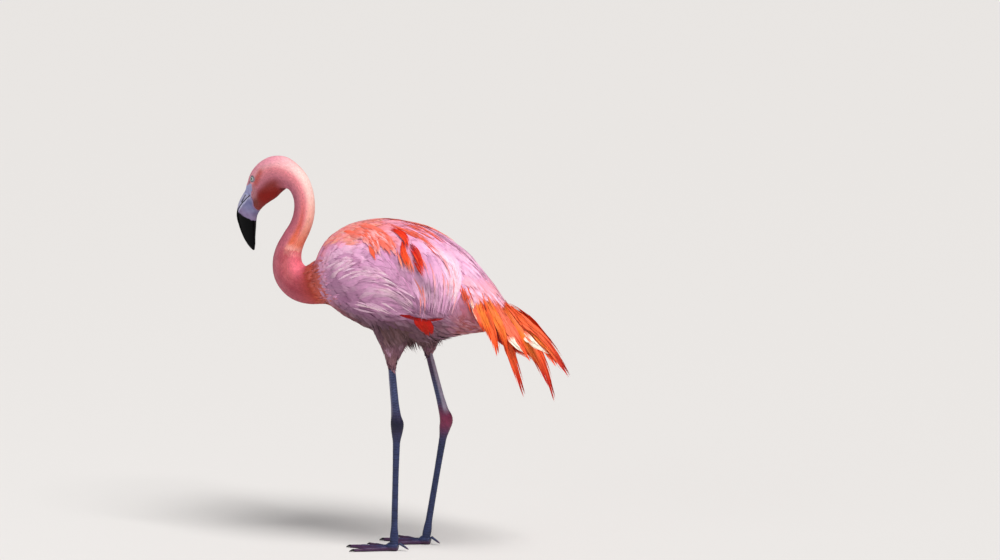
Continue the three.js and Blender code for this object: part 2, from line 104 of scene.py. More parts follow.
# Side lines [forward, up] on the head: where the feathers of the cheek and forehead end, where the horn
# of the bill starts, where the mouth closes, where the black starts, the nostril and the bare face.
FEATHER_EDGE = [(96, 596), (76, 602), (68, 605.5), (61, 608.5), (57, 607.5), (57.2, 597), (61.4, 591.3),
                (58.5, 584), (57, 577), (58, 569), (54, 561), (44, 553)]
HORN_EDGE = [(100, 605), (88, 592), (66, 589), (60.5, 584), (58, 577), (58.5, 569), (54, 561), (44, 553)]
MOUTH_LINE = [(57, 597), (65, 587.5), (74, 579.5), (84, 569.5), (91, 560), (92.5, 547), (88, 530),
              (80.5, 512), (70, 496), (62, 484)]
BLACK_EDGE = [(106, 563), (94.2, 559.5), (86.5, 555.1), (78.5, 550.7), (68.6, 546.1), (60, 541), (48, 536)]
NOSTRIL = ((76.1, 586.4), (83.4, 574.6))
# A short mark along the chin's edge, where a painted highlight goes.
CHIN_HIGHLIGHT_MARK = ((46, 562), (54.5, 544))
BARE_FACE = [(90, 600), *FEATHER_EDGE[1:7], (62, 584), (110, 580)]


# ---------------------------------------------------------------- small helpers
def linear(red, green, blue):
    """sRGB 0-255 to linear 0-1."""
    c = np.array([red, green, blue], float) / 255
    return np.where(c <= 0.04045, c / 12.92, ((c + 0.055) / 1.055) ** 2.4)


def unit(v):
    return v / np.maximum(np.linalg.norm(v, axis=-1, keepdims=True), 1e-9)


def steps(count):
    return np.linspace(0, 1, count)


def turns(count):
    """Angles once round."""
    return np.linspace(0, 2 * np.pi, count, endpoint=False)


def ramp(x, low, high):
    """0 up to low and 1 from high on, with a soft change between."""
    t = np.clip((x - low) / (high - low), 0, 1)
    return t * t * (3 - 2 * t)


def bell(x, middle, width):
    return np.exp(-(((x - middle) / width) ** 2))


def clipped(x, high=1):
    return np.clip(x, 0, high)


def mix(a, b, share):
    share = np.asarray(share)[..., None]
    return a * (1 - share) + b * share


def painted(colour, *layers):
    """A colour with layers (colour, share) laid over it in turn."""
    for layer, share in layers:
        colour = mix(colour, layer, share)
    return colour


def running(line):
    """How far along a line each of its points lies."""
    return np.concatenate([[0], np.cumsum(np.linalg.norm(np.diff(line, axis=0), axis=1))])


def curve(points, shares):
    """The centripetal curve that the solids use, through the points, at shares from 0 to 1."""
    points = np.asarray(points, float)
    last = len(points) - 1
    place = np.clip(np.asarray(shares, float), 0, 1) * last
    index = np.minimum(place.astype(int), last - 1)
    w = (place - index)[:, None]
    padded = np.vstack([2 * points[0] - points[1], points, 2 * points[-1] - points[-2]])
    p0, p1, p2, p3 = (padded[index + k] for k in range(4))
    spans = ((p0, p1), (p1, p2), (p2, p3))
    d0, d1, d2 = (np.linalg.norm(b - a, axis=1, keepdims=True) ** 0.5 + 1e-9 for a, b in spans)
    t1 = ((p1 - p0) / d0 - (p2 - p0) / (d0 + d1) + (p2 - p1) / d1) * d1
    t2 = ((p2 - p1) / d1 - (p3 - p1) / (d1 + d2) + (p3 - p2) / d2) * d1
    return p1 + w * t1 + w**2 * (-3 * p1 + 3 * p2 - 2 * t1 - t2) + w**3 * (2 * p1 - 2 * p2 + t1 + t2)


class Form:
    """An oval section swept through stations [x, y, z, up, down, side]."""

    def __init__(self, stations, turn=None, boxy=1.0, level=False):
        self.stations = np.asarray(stations, float)
        self.turn = turn or np.zeros_like
        self.boxy = boxy
        self.level = level

    def frames(self, shares):
        line = curve(self.stations[:, :3], shares)
        if self.level:
            tangent = np.tile([0.0, 1.0, 0.0], (len(shares), 1))
        else:
            ahead, behind = (curve(self.stations[:, :3], clipped(shares + d)) for d in (1e-3, -1e-3))
            tangent = unit(ahead - behind)
        turn = self.turn(shares)
        lateral = np.stack([np.cos(turn), np.sin(turn), np.zeros_like(turn)], axis=1)
        lateral = unit(lateral - (lateral * tangent).sum(1, keepdims=True) * tangent)
        return line, tangent, lateral, np.cross(lateral, tangent)

    def at(self, shares, angles, swell=0.0, low=None, high=None):
        """Points at equal-length shares and angles (0 on top, a quarter turn on the left)."""
        line, _, lateral, dorsal = self.frames(shares)
        size = curve(self.stations[:, 3:], shares)
        across, along = (np.sign(v) * np.abs(v) ** self.boxy for v in (np.sin(angles), np.cos(angles)))
        rise = along * (np.where(along > 0, size[:, 0], size[:, 1]) + swell)
        if low is not None:
            rise = np.maximum(rise, low)
        if high is not None:
            rise = np.minimum(rise, high)
        return line + lateral * (across * (size[:, 2] + swell))[:, None] + dorsal * rise[:, None]

    def grid(self, shares, sides, swell=0.0):
        """Rings of points at the shares: an array of (rings, sides, 3)."""
        s, a = np.meshgrid(shares, turns(sides), indexing="ij")
        swell = np.asarray(swell, float)
        swell = np.broadcast_to(swell if swell.ndim == 2 else swell.reshape(-1, 1), s.shape).ravel()
        return self.at(s.ravel(), a.ravel(), swell).reshape(len(shares), sides, 3)


def tube_faces(rings, sides):
    """Quads between rings of points, and the two end caps as fans round points added after them."""
    i, j = np.meshgrid(np.arange(rings - 1), np.arange(sides), indexing="ij")
    a, b = i * sides + j, i * sides + (j + 1) % sides
    quads = np.stack([a, b, b + sides, a + sides], axis=-1).reshape(-1, 4)
    j = np.arange(sides)
    after = (j + 1) % sides
    first, base = rings * sides, (rings - 1) * sides
    near = np.stack([np.full(sides, first), after, j], axis=1)
    far = np.stack([np.full(sides, first + 1), base + j, base + after], axis=1)
    return quads, np.vstack([near, far])


def closed_tube(grid):
    """Points and outward faces of a closed tube, from rings of points."""
    rings, sides, _ = grid.shape
    points = np.vstack([grid.reshape(-1, 3), grid[0].mean(0), grid[-1].mean(0)])
    return points, faced_out(points, list(tube_faces(rings, sides)))


def join(parts):
    """Several (points, faces) as one."""
    points, faces, start = [], [], 0
    for p, f in parts:
        points.append(p)
        faces += [g + start for g in f]
        start += len(p)
    return np.vstack(points), faces


def faced_out(points, faces):
    """The faces turned so that the closed shape's volume is positive."""
    volume = 0.0
    for f in faces:
        for k in range(1, f.shape[1] - 1):
            a, b, c = points[f[:, 0]], points[f[:, k]], points[f[:, k + 1]]
            volume += (a * np.cross(b, c)).sum()
    return faces if volume > 0 else [f[:, ::-1] for f in faces]


def from_segment(x, y, start, end):
    """Distance of places from a segment."""
    dx, dy = end[0] - start[0], end[1] - start[1]
    t = clipped(((x - start[0]) * dx + (y - start[1]) * dy) / (dx * dx + dy * dy))
    return np.hypot(x - start[0] - t * dx, y - start[1] - t * dy)


def above(line, x, y):
    """Signed distance from a line of places: positive on the left of its run."""
    best = np.full(np.shape(x), 1e9)
    signed = np.zeros(np.shape(x))
    for start, end in zip(line, line[1:]):
        gap = from_segment(x, y, start, end)
        side = np.sign((end[0] - start[0]) * (y - start[1]) - (end[1] - start[1]) * (x - start[0]))
        nearer = gap < best
        best = np.where(nearer, gap, best)
        signed = np.where(nearer, side * gap, signed)
    return signed


def smear(x, y, mark, width, full=1.3):
    """1 along a short mark, fading to 0 past its width."""
    return clipped(full - from_segment(x, y, *mark) / width)


# ---------------------------------------------------------------- head plane and shift
HEADING = np.array([-math.sin(HEAD_TURN), -math.cos(HEAD_TURN)])
HEAD_LEFT = np.array([math.cos(HEAD_TURN), -math.sin(HEAD_TURN)])


def head_place(forward, up, side=0.0):
    forward, up, side = (np.asarray(v, float) for v in (forward, up, side))
    plan = NAPE + forward[..., None] * HEADING + side[..., None] * HEAD_LEFT
    return np.concatenate([plan, np.broadcast_to(up[..., None], plan[..., :1].shape)], axis=-1)


def head_view(points):
    """Forward, up and side of points, in the head's own upright plane."""
    plan = points[..., :2] - NAPE
    return plan @ HEADING, points[..., 2], plan @ HEAD_LEFT


def from_eye(points):
    forward, up, _ = head_view(points)
    return np.hypot(forward - EYE_FORWARD, up - EYE_UP)


def shift_of_model():
    """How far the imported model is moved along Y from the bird's own frame."""
    low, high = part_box("eye_left")
    return (low[1] + high[1]) / 2 * 1000 - head_place(EYE_FORWARD, EYE_UP, EYE_SIDE)[1]


SHIFT = np.array([0.0, shift_of_model(), 0.0])

# ---------------------------------------------------------------- camera
CAMERA_AZIMUTH, CAMERA_RISE = math.radians(110), math.radians(9)
CAMERA_DISTANCE = 9.0
SENSOR_WIDTH = 36
FIELD_WIDTH = 1.7  # metres across the picture at the bird
PICTURE_RIGHT, PICTURE_UP = 0.1666, 0.4532  # the picture's middle, from the bird's origin


def link(made, place=(0, 0, 0)):
    made.location = place
    bpy.context.scene.collection.objects.link(made)
    return made


def aim(made, direction):
    made.rotation_mode = "QUATERNION"
    made.rotation_quaternion = direction.to_track_quat("-Z", "Y")


def make_camera():
    az, el = CAMERA_AZIMUTH, CAMERA_RISE
    right = Vector((math.cos(az), math.sin(az), 0))
    back = Vector((math.sin(az) * math.cos(el), -math.cos(az) * math.cos(el), math.sin(el)))
    target = right * PICTURE_RIGHT + back.cross(right) * PICTURE_UP + Vector(SHIFT) / 1000
    camera = bpy.data.objects.new("camera", bpy.data.cameras.new("camera"))
    link(camera, target + back * CAMERA_DISTANCE)
    camera.data.sensor_width = SENSOR_WIDTH
    camera.data.lens = SENSOR_WIDTH * CAMERA_DISTANCE / FIELD_WIDTH
    camera.data.clip_end = 100
    aim(camera, -back)
    bpy.context.scene.camera = camera


make_camera()


# ---------------------------------------------------------------- meshes from arrays
def new_object(name, points, faces, material, colours, maps=None, crease=None):
    """A piece of the bird from points in millimetres. Colours are linear, one per point; maps are
    texture maps, one place per point; crease marks points whose shared edges stay sharp."""
    mesh = bpy.data.meshes.new(name)
    loops = np.concatenate([f.ravel() for f in faces]).astype(np.int32)
    counts = np.concatenate([np.full(len(f), f.shape[1]) for f in faces])
    starts = np.concatenate([[0], np.cumsum(counts)[:-1]]).astype(np.int32)
    mesh.vertices.add(len(points))
    mesh.vertices.foreach_set("co", ((points + SHIFT) / 1000).astype(np.float32).ravel())
    mesh.loops.add(len(loops))
    mesh.loops.foreach_set("vertex_index", loops)
    mesh.polygons.add(len(counts))
    mesh.polygons.foreach_set("loop_start", starts)
    mesh.update(calc_edges=True)
    mesh.polygons.foreach_set("use_smooth", np.full(len(counts), True))
    layer = mesh.attributes.new("Col", "FLOAT_COLOR", "POINT")
    opaque = np.hstack([clipped(colours), np.ones((len(colours), 1))])
    layer.data.foreach_set("color", opaque.astype(np.float32).ravel())
    for label, places in (maps or {}).items():
        layer = mesh.uv_layers.new(name=label)
        layer.data.foreach_set("uv", places[loops].astype(np.float32).ravel())
    if crease is not None:
        pairs = np.empty(len(mesh.edges) * 2, np.int32)
        mesh.edges.foreach_get("vertices", pairs)
        sharp = crease[pairs.reshape(-1, 2)].all(axis=1)
        mesh.attributes.new("sharp_edge", "BOOLEAN", "EDGE").data.foreach_set("value", sharp)
    mesh.materials.append(material)
    made = link(bpy.data.objects.new(name, mesh))
    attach(made, "root")
    return made


def remeshed(points, faces, voxel, smooth_times):
    """The outer surface of overlapping closed shapes as one even mesh: points and quads."""
    mesh = bpy.data.meshes.new("draft")
    mesh.from_pydata(points.tolist(), [], faces)
    draft = link(bpy.data.objects.new("draft", mesh))
    remesh = draft.modifiers.new("remesh", "REMESH")
    remesh.mode = "VOXEL"
    remesh.voxel_size = voxel
    relax = draft.modifiers.new("relax", "SMOOTH")
    relax.factor = 0.5
    relax.iterations = smooth_times
    made = draft.evaluated_get(bpy.context.evaluated_depsgraph_get()).to_mesh()
    out = np.empty(len(made.vertices) * 3, np.float32)
    made.vertices.foreach_get("co", out)
    loops = np.empty(len(made.loops), np.int32)
    made.loops.foreach_get("vertex_index", loops)
    quads = loops.reshape(-1, 4)
    bpy.data.objects.remove(draft)
    bpy.data.meshes.remove(mesh)
    return out.reshape(-1, 3).astype(float), quads


def listed(faces, start=0):
    """Faces as lists of numbers, counted from a start."""
    return [[int(i) + start for i in row] for f in faces for row in f]


def point_normals(points, faces):
    normals = np.zeros_like(points)
    for f in faces:
        a, b, c = points[f[:, 0]], points[f[:, 1]], points[f[:, 2]]
        n = np.cross(b - a, c - a)
        if f.shape[1] == 4:
            n = n + np.cross(c - a, points[f[:, 3]] - a)
        for k in range(f.shape[1]):
            np.add.at(normals, f[:, k], n)
    return unit(normals)


# ---------------------------------------------------------------- materials
def plain_material(name, **constants):
    """A material whose shader has constants, named with underlines for spaces."""
    material = bpy.data.materials.new(name)
    material.use_nodes = True
    for key, value in constants.items():
        material.node_tree.nodes["Principled BSDF"].inputs[key.replace("_", " ")].default_value = value
    return material


def add_node(tree, kind, **values):
    made = tree.nodes.new(kind)
    for key, value in values.items():
        if key.replace("_", " ") in made.inputs:
            made.inputs[key.replace("_", " ")].default_value = value
        else:
            setattr(made, key, value)
    return made


def painted_material(name, grain, tones, bump, cells=0, **constants):
    """A material in the mesh's own colours, made darker and lighter between two tones by noise of a
    grain in object space. The noise, or cells of a grain, is also its bump: strength and distance."""
    material = plain_material(name, **constants)
    tree = material.node_tree
    shader = tree.nodes["Principled BSDF"]
    colour = add_node(tree, "ShaderNodeAttribute", attribute_name="Col")
    place = add_node(tree, "ShaderNodeTexCoord")
    noise = add_node(tree, "ShaderNodeTexNoise", Scale=grain, Detail=3.0)
    reach = add_node(tree, "ShaderNodeMapRange", From_Min=0.3, From_Max=0.7, To_Min=tones[0], To_Max=tones[1])
    times = add_node(tree, "ShaderNodeVectorMath", operation="SCALE")
    raised = add_node(tree, "ShaderNodeBump", Strength=bump[0], Distance=bump[1])
    height = noise.outputs["Fac"]
    tree.links.new(place.outputs["Object"], noise.inputs["Vector"])
    if cells:
        cell = add_node(tree, "ShaderNodeTexVoronoi", Scale=cells)
        tree.links.new(place.outputs["Object"], cell.inputs["Vector"])
        height = cell.outputs["Distance"]
    tree.links.new(noise.outputs["Fac"], reach.inputs["Value"])
    tree.links.new(colour.outputs["Color"], times.inputs[0])
    tree.links.new(reach.outputs["Result"], times.inputs["Scale"])
    tree.links.new(times.outputs["Vector"], shader.inputs["Base Color"])
    tree.links.new(height, raised.inputs["Height"])
    tree.links.new(raised.outputs["Normal"], shader.inputs["Normal"])
    return material


def feather_material(name, roughness, gloss, grain):
    return painted_material(name, grain, (0.92, 1.07), (0.25, 0.0003), Roughness=roughness, Sheen_Weight=0.06,
                            Sheen_Roughness=0.4, Sheen_Tint=(1.0, 0.75, 0.75, 1), Specular_IOR_Level=gloss)


def eye_material():
    material = plain_material("eye_gloss", Roughness=0.06, Coat_Weight=1.0, Coat_Roughness=0.02)
    tree = material.node_tree
    colour = add_node(tree, "ShaderNodeAttribute", attribute_name="Col")
    tree.links.new(colour.outputs["Color"], tree.nodes["Principled BSDF"].inputs["Base Color"])
    return material


TUFT_LOOK = feather_material("down_tufts", 0.75, 0.12, 260)
VANE_LOOK = feather_material("contour_vanes", 0.62, 0.18, 170)
PLUME_LOOK = feather_material("long_plumes", 0.5, 0.25, 120)
HORN_LOOK = painted_material("bill_horn", 160, (0.9, 1.05), (0.12, 0.0004), Roughness=0.36,
                             Specular_IOR_Level=0.09)
SKIN_LOOK = painted_material("bare_skin", 420, (0.88, 1.08), (0.25, 0.0004), cells=620.0, Roughness=0.46,
                             Coat_Weight=0.05, Specular_IOR_Level=0.26)
EYE_LOOK = eye_material()

# ---------------------------------------------------------------- colours
NECK_PINK = linear(232, 142, 150)
MAUVE = linear(192, 112, 130)
RIM_LIGHT_CREAM = linear(255, 216, 208)
CROWN_PINK = linear(238, 144, 170)
ROSE = linear(176, 68, 80)
LOW_ROSE = linear(166, 66, 80)
LOW_PINK = linear(238, 118, 140)
RIM_LIGHT_SALMON = linear(255, 168, 142)
WARM_NAPE = linear(240, 122, 84)
RUST = linear(196, 72, 50)
SHADED_CHEEK = linear(136, 42, 22)
SHADED_THROAT = linear(142, 18, 4)
FACE_ROSE = linear(176, 124, 132)
LORE_CREASE_SHADE = linear(112, 78, 98)
CHIN_ROSE = linear(112, 66, 62)
NECK_BASE = linear(184, 66, 44)
SALMON = linear(246, 128, 112)
ORANGE = linear(244, 88, 40)
RED = linear(220, 22, 12)
DARK_RED = linear(150, 26, 32)
PALE_LILAC = linear(228, 164, 206)
LILAC = linear(158, 104, 140)
VIOLET_SHADE = linear(126, 86, 114)
WHITE_PINK = linear(250, 206, 230)
SUNLIT = linear(255, 230, 230)
PALE_PINK = linear(242, 172, 192)
CREAM = linear(250, 226, 204)
SHADED_FLANK = linear(184, 96, 120)
SHADE_PINK = linear(106, 70, 70)
FLUFF_PALE = linear(156, 114, 120)
VENT = linear(164, 76, 52)
BREAST_EDGE = linear(214, 118, 118)
BARE_WHITE = linear(164, 172, 218)
EYE_RING = linear(172, 128, 140)
HORN_PALE = linear(118, 116, 160)
HORN_WHITE = linear(206, 206, 234)
HORN_ROSE = linear(160, 122, 156)
BLACK = linear(4, 4, 6)
CHIN_HIGHLIGHT = linear(250, 246, 240)
LEG_GREY = linear(36, 46, 86)
LEG_PALE = linear(96, 104, 144)
LEG_DARK = linear(14, 20, 42)
ANKLE_ROSE = linear(150, 54, 88)
SHIN_HIGHLIGHT = linear(186, 178, 200)
CLAW = linear(30, 28, 34)
FLIGHT_BLACK = linear(26, 22, 26)
IRIS_INNER, IRIS_OUTER = linear(168, 176, 164), linear(112, 132, 148)
LID_DARK, LID_ROSE = linear(64, 52, 64), linear(172, 142, 154)
PLUME_ROOTS = {"orange": linear(255, 96, 34), "warm": linear(255, 130, 44), "rose": linear(252, 116, 84),
               "pale": linear(255, 196, 178)}
PLUME_TIPS = {"dark": linear(196, 30, 14), "plain": linear(250, 80, 22), "white": linear(255, 240, 222)}

# The side map is the bird seen square to the camera's side, the same on both sides: how far back and up.
OUT_TO_BACK, Y_TO_BACK = 0.342, 0.94
OUT_TO_UP, Y_TO_UP, Z_TO_UP = 0.147, 0.0535, 0.988


def side_map(points):
    out = np.abs(points[..., 0])
    back = Y_TO_BACK * points[..., 1] - OUT_TO_BACK * out
    up = Z_TO_UP * points[..., 2] - OUT_TO_UP * out - Y_TO_UP * points[..., 1]
    return back, up


def side_place(back, up, out, sign):
    """The place that has a place on the side map and lies so far out from the middle."""
    y = (back + OUT_TO_BACK * out) / Y_TO_BACK
    z = (up + OUT_TO_UP * out + Y_TO_UP * y) / Z_TO_UP
    return np.array([sign * out, y, z])


def patch(points, back, up, long, wide, tilt=0.0):
    """1 at the middle of an oval marking, fading to 0 past its edge."""
    b, u = side_map(points)
    t = math.radians(tilt)
    along = (b - back) * math.cos(t) + (u - up) * math.sin(t)
    across = -(b - back) * math.sin(t) + (u - up) * math.cos(t)
    return clipped(1.4 - np.sqrt((along / long) ** 2 + (across / wide) ** 2))


def ripple(points, scale, seed=0):
    """Smooth made noise between about -1 and 1."""
    rng = np.random.default_rng(seed)
    total = np.zeros(points.shape[:-1])
    for _ in range(5):
        wave = rng.normal(size=3)
        wave = wave / np.linalg.norm(wave) * 2 * np.pi / (scale * rng.uniform(0.7, 1.4))
        total += np.sin(points @ wave + rng.uniform(0, 2 * np.pi))
    return total / 3.0


# ---------------------------------------------------------------- the lie of the coat
# [back, up, degrees] on the side map: 0 lies straight back and -90 straight down.
LIE = np.array([
    (-156, 487, 40), (-142, 516, 36), (-117, 538, 25), (-88, 550, 12), (-46, 558, 0), (-3, 555, -8),
    (39, 544, -22), (82, 521, -34), (124, 490, -45), (152, 453, -55), (175, 419, -52), (195, 397, -50),
    (-103, 530, 0), (-74, 533, -5), (-46, 535, -12), (-32, 524, -25), (-15, 516, -45), (-3, 510, -58),
    (8, 496, -66), (25, 510, -55), (36, 482, -64), (36, 462, -68), (11, 538, -20), (53, 524, -35),
    (67, 510, -40), (96, 487, -48), (110, 462, -55), (133, 439, -55), (161, 414, -50), (-131, 490, 16),
    (-142, 470, 14), (-111, 476, 14), (-80, 487, 5), (-103, 450, 8), (-60, 467, 2), (-32, 462, -6),
    (-15, 448, -16), (-131, 456, -6), (-88, 428, -5), (-46, 433, -8), (-3, 433, -20), (25, 416, -28),
    (-15, 411, -18), (-46, 411, -10), (11, 399, -18), (-32, 487, -44), (-37, 507, -46), (-18, 482, -52),
    (8, 462, -50), (25, 445, -54), (53, 453, -70), (67, 467, -76), (73, 425, -78), (59, 416, -62),
    (87, 445, -82), (76, 399, -70), (110, 422, -78), (116, 397, -70), (99, 397, -74), (133, 411, -66),
    (138, 382, -60), (167, 377, -58), (181, 382, -52), (223, 346, -45), (-117, 422, -30), (-100, 399, -30),
    (-74, 385, -26), (-54, 388, -22), (-3, 377, -15), (-32, 385, -20), (53, 377, -8), (82, 365, -4),
    (110, 365, -2), (124, 371, -8), (-37, 365, -60), (-15, 354, -75), (-46, 371, -52), (2, 354, -90),
    (-15, 331, -85), (25, 348, -65), (53, 346, -70),
], float)
LIE_BLUR = 13.0


def lie_angle(points):
    """How far the coat's lie is above straight back, in radians."""
    back, up = side_map(points)
    gap = (back[:, None] - LIE[:, 0]) ** 2 + (up[:, None] - LIE[:, 1]) ** 2
    weight = 1 / (gap + LIE_BLUR**2) ** 1.6
    turn = np.radians(LIE[:, 2])
    return np.arctan2(weight @ np.sin(turn), weight @ np.cos(turn))


def head_turn(share):
    nape = len(HEAD_SECTIONS) / (len(HEAD_SECTIONS) + len(NECK_SECTIONS))
    return -HEAD_TURN * (1 - ramp(share, nape * 0.8, nape * 1.25))


def head_and_neck():
    head = [(*head_place(f, u), d, d, w) for f, u, d, w in HEAD_SECTIONS]
    return head + [(x, y, z, d, d, w) for x, y, z, d, w in NECK_SECTIONS]


def trunk():
    return [(0, y, (top + low) / 2, (top - low) / 2, (top - low) / 2, w) for y, top, low, w in TRUNK_SECTIONS]


HEAD_NECK = Form(head_and_neck(), turn=head_turn, boxy=0.93)
TRUNK = Form(trunk(), boxy=0.94, level=True)
SHARE_STEP = 1 / (len(HEAD_SECTIONS) + len(NECK_SECTIONS) - 1)
NAPE_SHARE = (len(HEAD_SECTIONS) - 1) * SHARE_STEP
SPINE_SHARES = steps(420)
SPINE, SPINE_TANGENT, SPINE_LATERAL, SPINE_DORSAL = HEAD_NECK.frames(SPINE_SHARES)
SPINE_RUN = running(SPINE)
AT_ONCE = 20000  # points compared with the spine in one go


def nearest_spine(points):
    """The nearest place on the head and neck's middle line: its index, and the angle round it."""
    index = np.empty(len(points), int)
    for start in range(0, len(points), AT_ONCE):
        part = points[start : start + AT_ONCE]
        index[start : start + AT_ONCE] = ((part[:, None, :] - SPINE[None]) ** 2).sum(-1).argmin(1)
    away = points - SPINE[index]
    angle = np.arctan2((away * SPINE_LATERAL[index]).sum(1), (away * SPINE_DORSAL[index]).sum(1))
    return index, angle


TRUNK_TABLE = np.array(TRUNK_SECTIONS, float)


def trunk_middle(y):
    return np.interp(y, TRUNK_TABLE[:, 0], TRUNK_TABLE[:, 1:3].mean(1))


def trunk_ratio(points):
    """1 on the trunk's surface, less inside it, and large ahead of or behind it."""
    y = points[:, 1]
    top, low, side = (np.interp(y, TRUNK_TABLE[:, 0], TRUNK_TABLE[:, k]) for k in (1, 2, 3))
    middle, half = (top + low) / 2, (top - low) / 2
    ratio = np.sqrt((points[:, 0] / side) ** 2 + ((points[:, 2] - middle) / half) ** 2)
    return np.where((y < TRUNK_TABLE[0, 0] - 1) | (y > TRUNK_TABLE[-1, 0] + 1), 9.0, ratio)


NECK_REGION, BODY_REGION, THIGH_REGION, LEG_REGION = range(4)
BREAST_FRONT, BREAST_REAR, THIGH_TOP = -149, -110, 368  # y of the trunk's and the rear's start, and a height


def region_of(points):
    """Which part of the coat each point on the skin belongs to."""
    ratio = trunk_ratio(points)
    region = np.full(len(points), NECK_REGION)
    region[(ratio < 1.06) & (points[:, 1] > BREAST_FRONT)] = BODY_REGION
    rear = (points[:, 1] > BREAST_REAR) & (ratio >= 1.06)
    region[rear] = BODY_REGION
    region[rear & (points[:, 2] < THIGH_TOP)] = THIGH_REGION
    for side, sign in SIDES:
        region[(points[:, 2] < LEG_TOP[side]) & (points[:, 0] * sign > 0)] = LEG_REGION
    return region


def lie_of(points, normals, region=None):
    """Unit directions of the coat's lie on the surface."""
    region = region_of(points) if region is None else region
    turn = lie_angle(points)
    way = np.stack([np.zeros(len(points)), np.cos(turn), np.sin(turn)], axis=1)
    front = ramp(-points[:, 1], 112, 148)[:, None]
    outward = points * [1, 0, 1] - np.stack([0 * turn, 0 * turn, trunk_middle(points[:, 1])], axis=1)
    way = way + 0.8 * front * unit(outward)
    neck = region == NECK_REGION
    if neck.any():
        way[neck] = SPINE_TANGENT[nearest_spine(points[neck])[0]]
    way[region == THIGH_REGION] = [0.0, 0.15, -1.0]
    way -= (way * normals).sum(1, keepdims=True) * normals
    return unit(way)


# ---------------------------------------------------------------- markings
# Painted shade in the hollows between groups of feathers, where the coat is made darker: [back, up, long,
# wide, tilt, strength].
PAINTED_SHADE_HOLLOWS = [
    (-20, 366, 100, 26, -14, 0.50), (-96, 396, 40, 14, -30, 0.45), (46, 440, 36, 10, -52, 0.55),
    (0, 416, 30, 12, -30, 0.25),
]
# Where the head's painted cast shadow starts on the neck and turns it deeper rose, as shares of the head and
# neck.
HEAD_SHADOW_FROM, HEAD_SHADOW_FULL = 0.766, 0.772


def painted_shade_keep(points):
    """How much of its brightness a place on the body keeps under the painted shade of the hollows."""
    keep = np.ones(points.shape[:-1])
    for *oval, strength in PAINTED_SHADE_HOLLOWS:
        keep = keep * (1 - strength * patch(points, *oval))
    return keep


def neck_colour(points):
    """Markings of the head and neck."""
    index, angle = nearest_spine(points)
    share = SPINE_SHARES[index]
    rear = 0.5 + 0.5 * np.cos(angle)  # 1 along the back of the neck and the crown
    forward, up, _ = head_view(points)
    lower = ramp(share, 0.58, 0.70)
    on_head = 1 - ramp(share, NAPE_SHARE - 0.03, NAPE_SHARE + 0.05)
    throat_shade = smear(forward, up, ((34, 586), (6, 592)), 14, 1.4) * (rear < 0.45)
    # The slightly uneven edge of the head's painted cast shadow across the neck.
    line = share + 0.006 * (rear - 0.5) + 0.002 * ripple(points, 12, 8)
    in_head_shadow = ramp(line, HEAD_SHADOW_FROM, HEAD_SHADOW_FULL)
    lit_band = ramp(line, 0.748, 0.765) * (1 - in_head_shadow) * ramp(rear, 0.35, 0.6)
    mottled_shadow = painted(
        LOW_ROSE,
        (NECK_PINK, clipped(0.18 + 0.16 * ripple(points, 10, 14))),
        (LOW_PINK, 0.8 * ramp(rear, 0.62, 0.92)),
        (mix(MAUVE, NECK_PINK, 0.3), 0.7 * (1 - ramp(rear, 0.12, 0.42))),
    )
    return painted(
        # Mauve at the front, then pink, then cream along the back: the cream along the back and the bright
        # salmon low on it are painted rim light, and the darker mauve and rose at the front are painted
        # shade.
        MAUVE,
        (NECK_PINK, ramp(rear, 0.2, 0.75)),
        (RIM_LIGHT_CREAM, 0.95 * ramp(rear, 0.70, 0.95)),
        (ROSE, 0.35 * lower * (1 - ramp(rear, 0.3, 0.6))),
        (mix(SALMON, RUST, 0.85), 0.8 * bell(rear, 0.60, 0.14) * lower),
        (RIM_LIGHT_SALMON, 0.75 * lower * ramp(rear, 0.70, 0.9)),
        (WARM_NAPE, 0.7 * ramp(share, 0.67, 0.745) * ramp(rear, 0.40, 0.62)),
        # The head: pink crown, rust behind the eye, and darkest under the cheek and throat, partly the head's
        # own colour and partly painted shade of its underside.
        (CROWN_PINK, 0.8 * on_head * ramp(rear, 0.70, 0.95)),
        (MAUVE, 0.35 * on_head * bell(rear, 0.5, 0.22)),
        (RUST, 0.62 * smear(forward, up, ((37, 631), (47, 612)), 6.5)),
        (SHADED_CHEEK, 0.85 * on_head * (1 - ramp(rear, 0.16, 0.46))),
        (SHADED_THROAT, 0.75 * throat_shade),
        (FACE_ROSE, 0.7 * smear(forward, up, ((54, 600), (56, 586)), 7)),
        # painted shade in the crease before the eye
        (LORE_CREASE_SHADE, 0.75 * smear(forward, up, ((63, 611), (66, 606)), 2.6, 1.2)),
        (CHIN_ROSE, 0.7 * smear(forward, up, ((53, 578), (53, 572)), 6)),
        # A bright band of painted light across the neck, and below it deeper, mottled rose: the head's
        # painted cast shadow.
        (mix(RIM_LIGHT_CREAM, SALMON, 0.45), 0.9 * lit_band),
        (mottled_shadow, 0.92 * in_head_shadow),
        (LOW_ROSE, 0.6 * ramp(share, 0.85, 0.91)),
        (NECK_BASE, 0.9 * ramp(share, 0.90, 0.96)),
    )


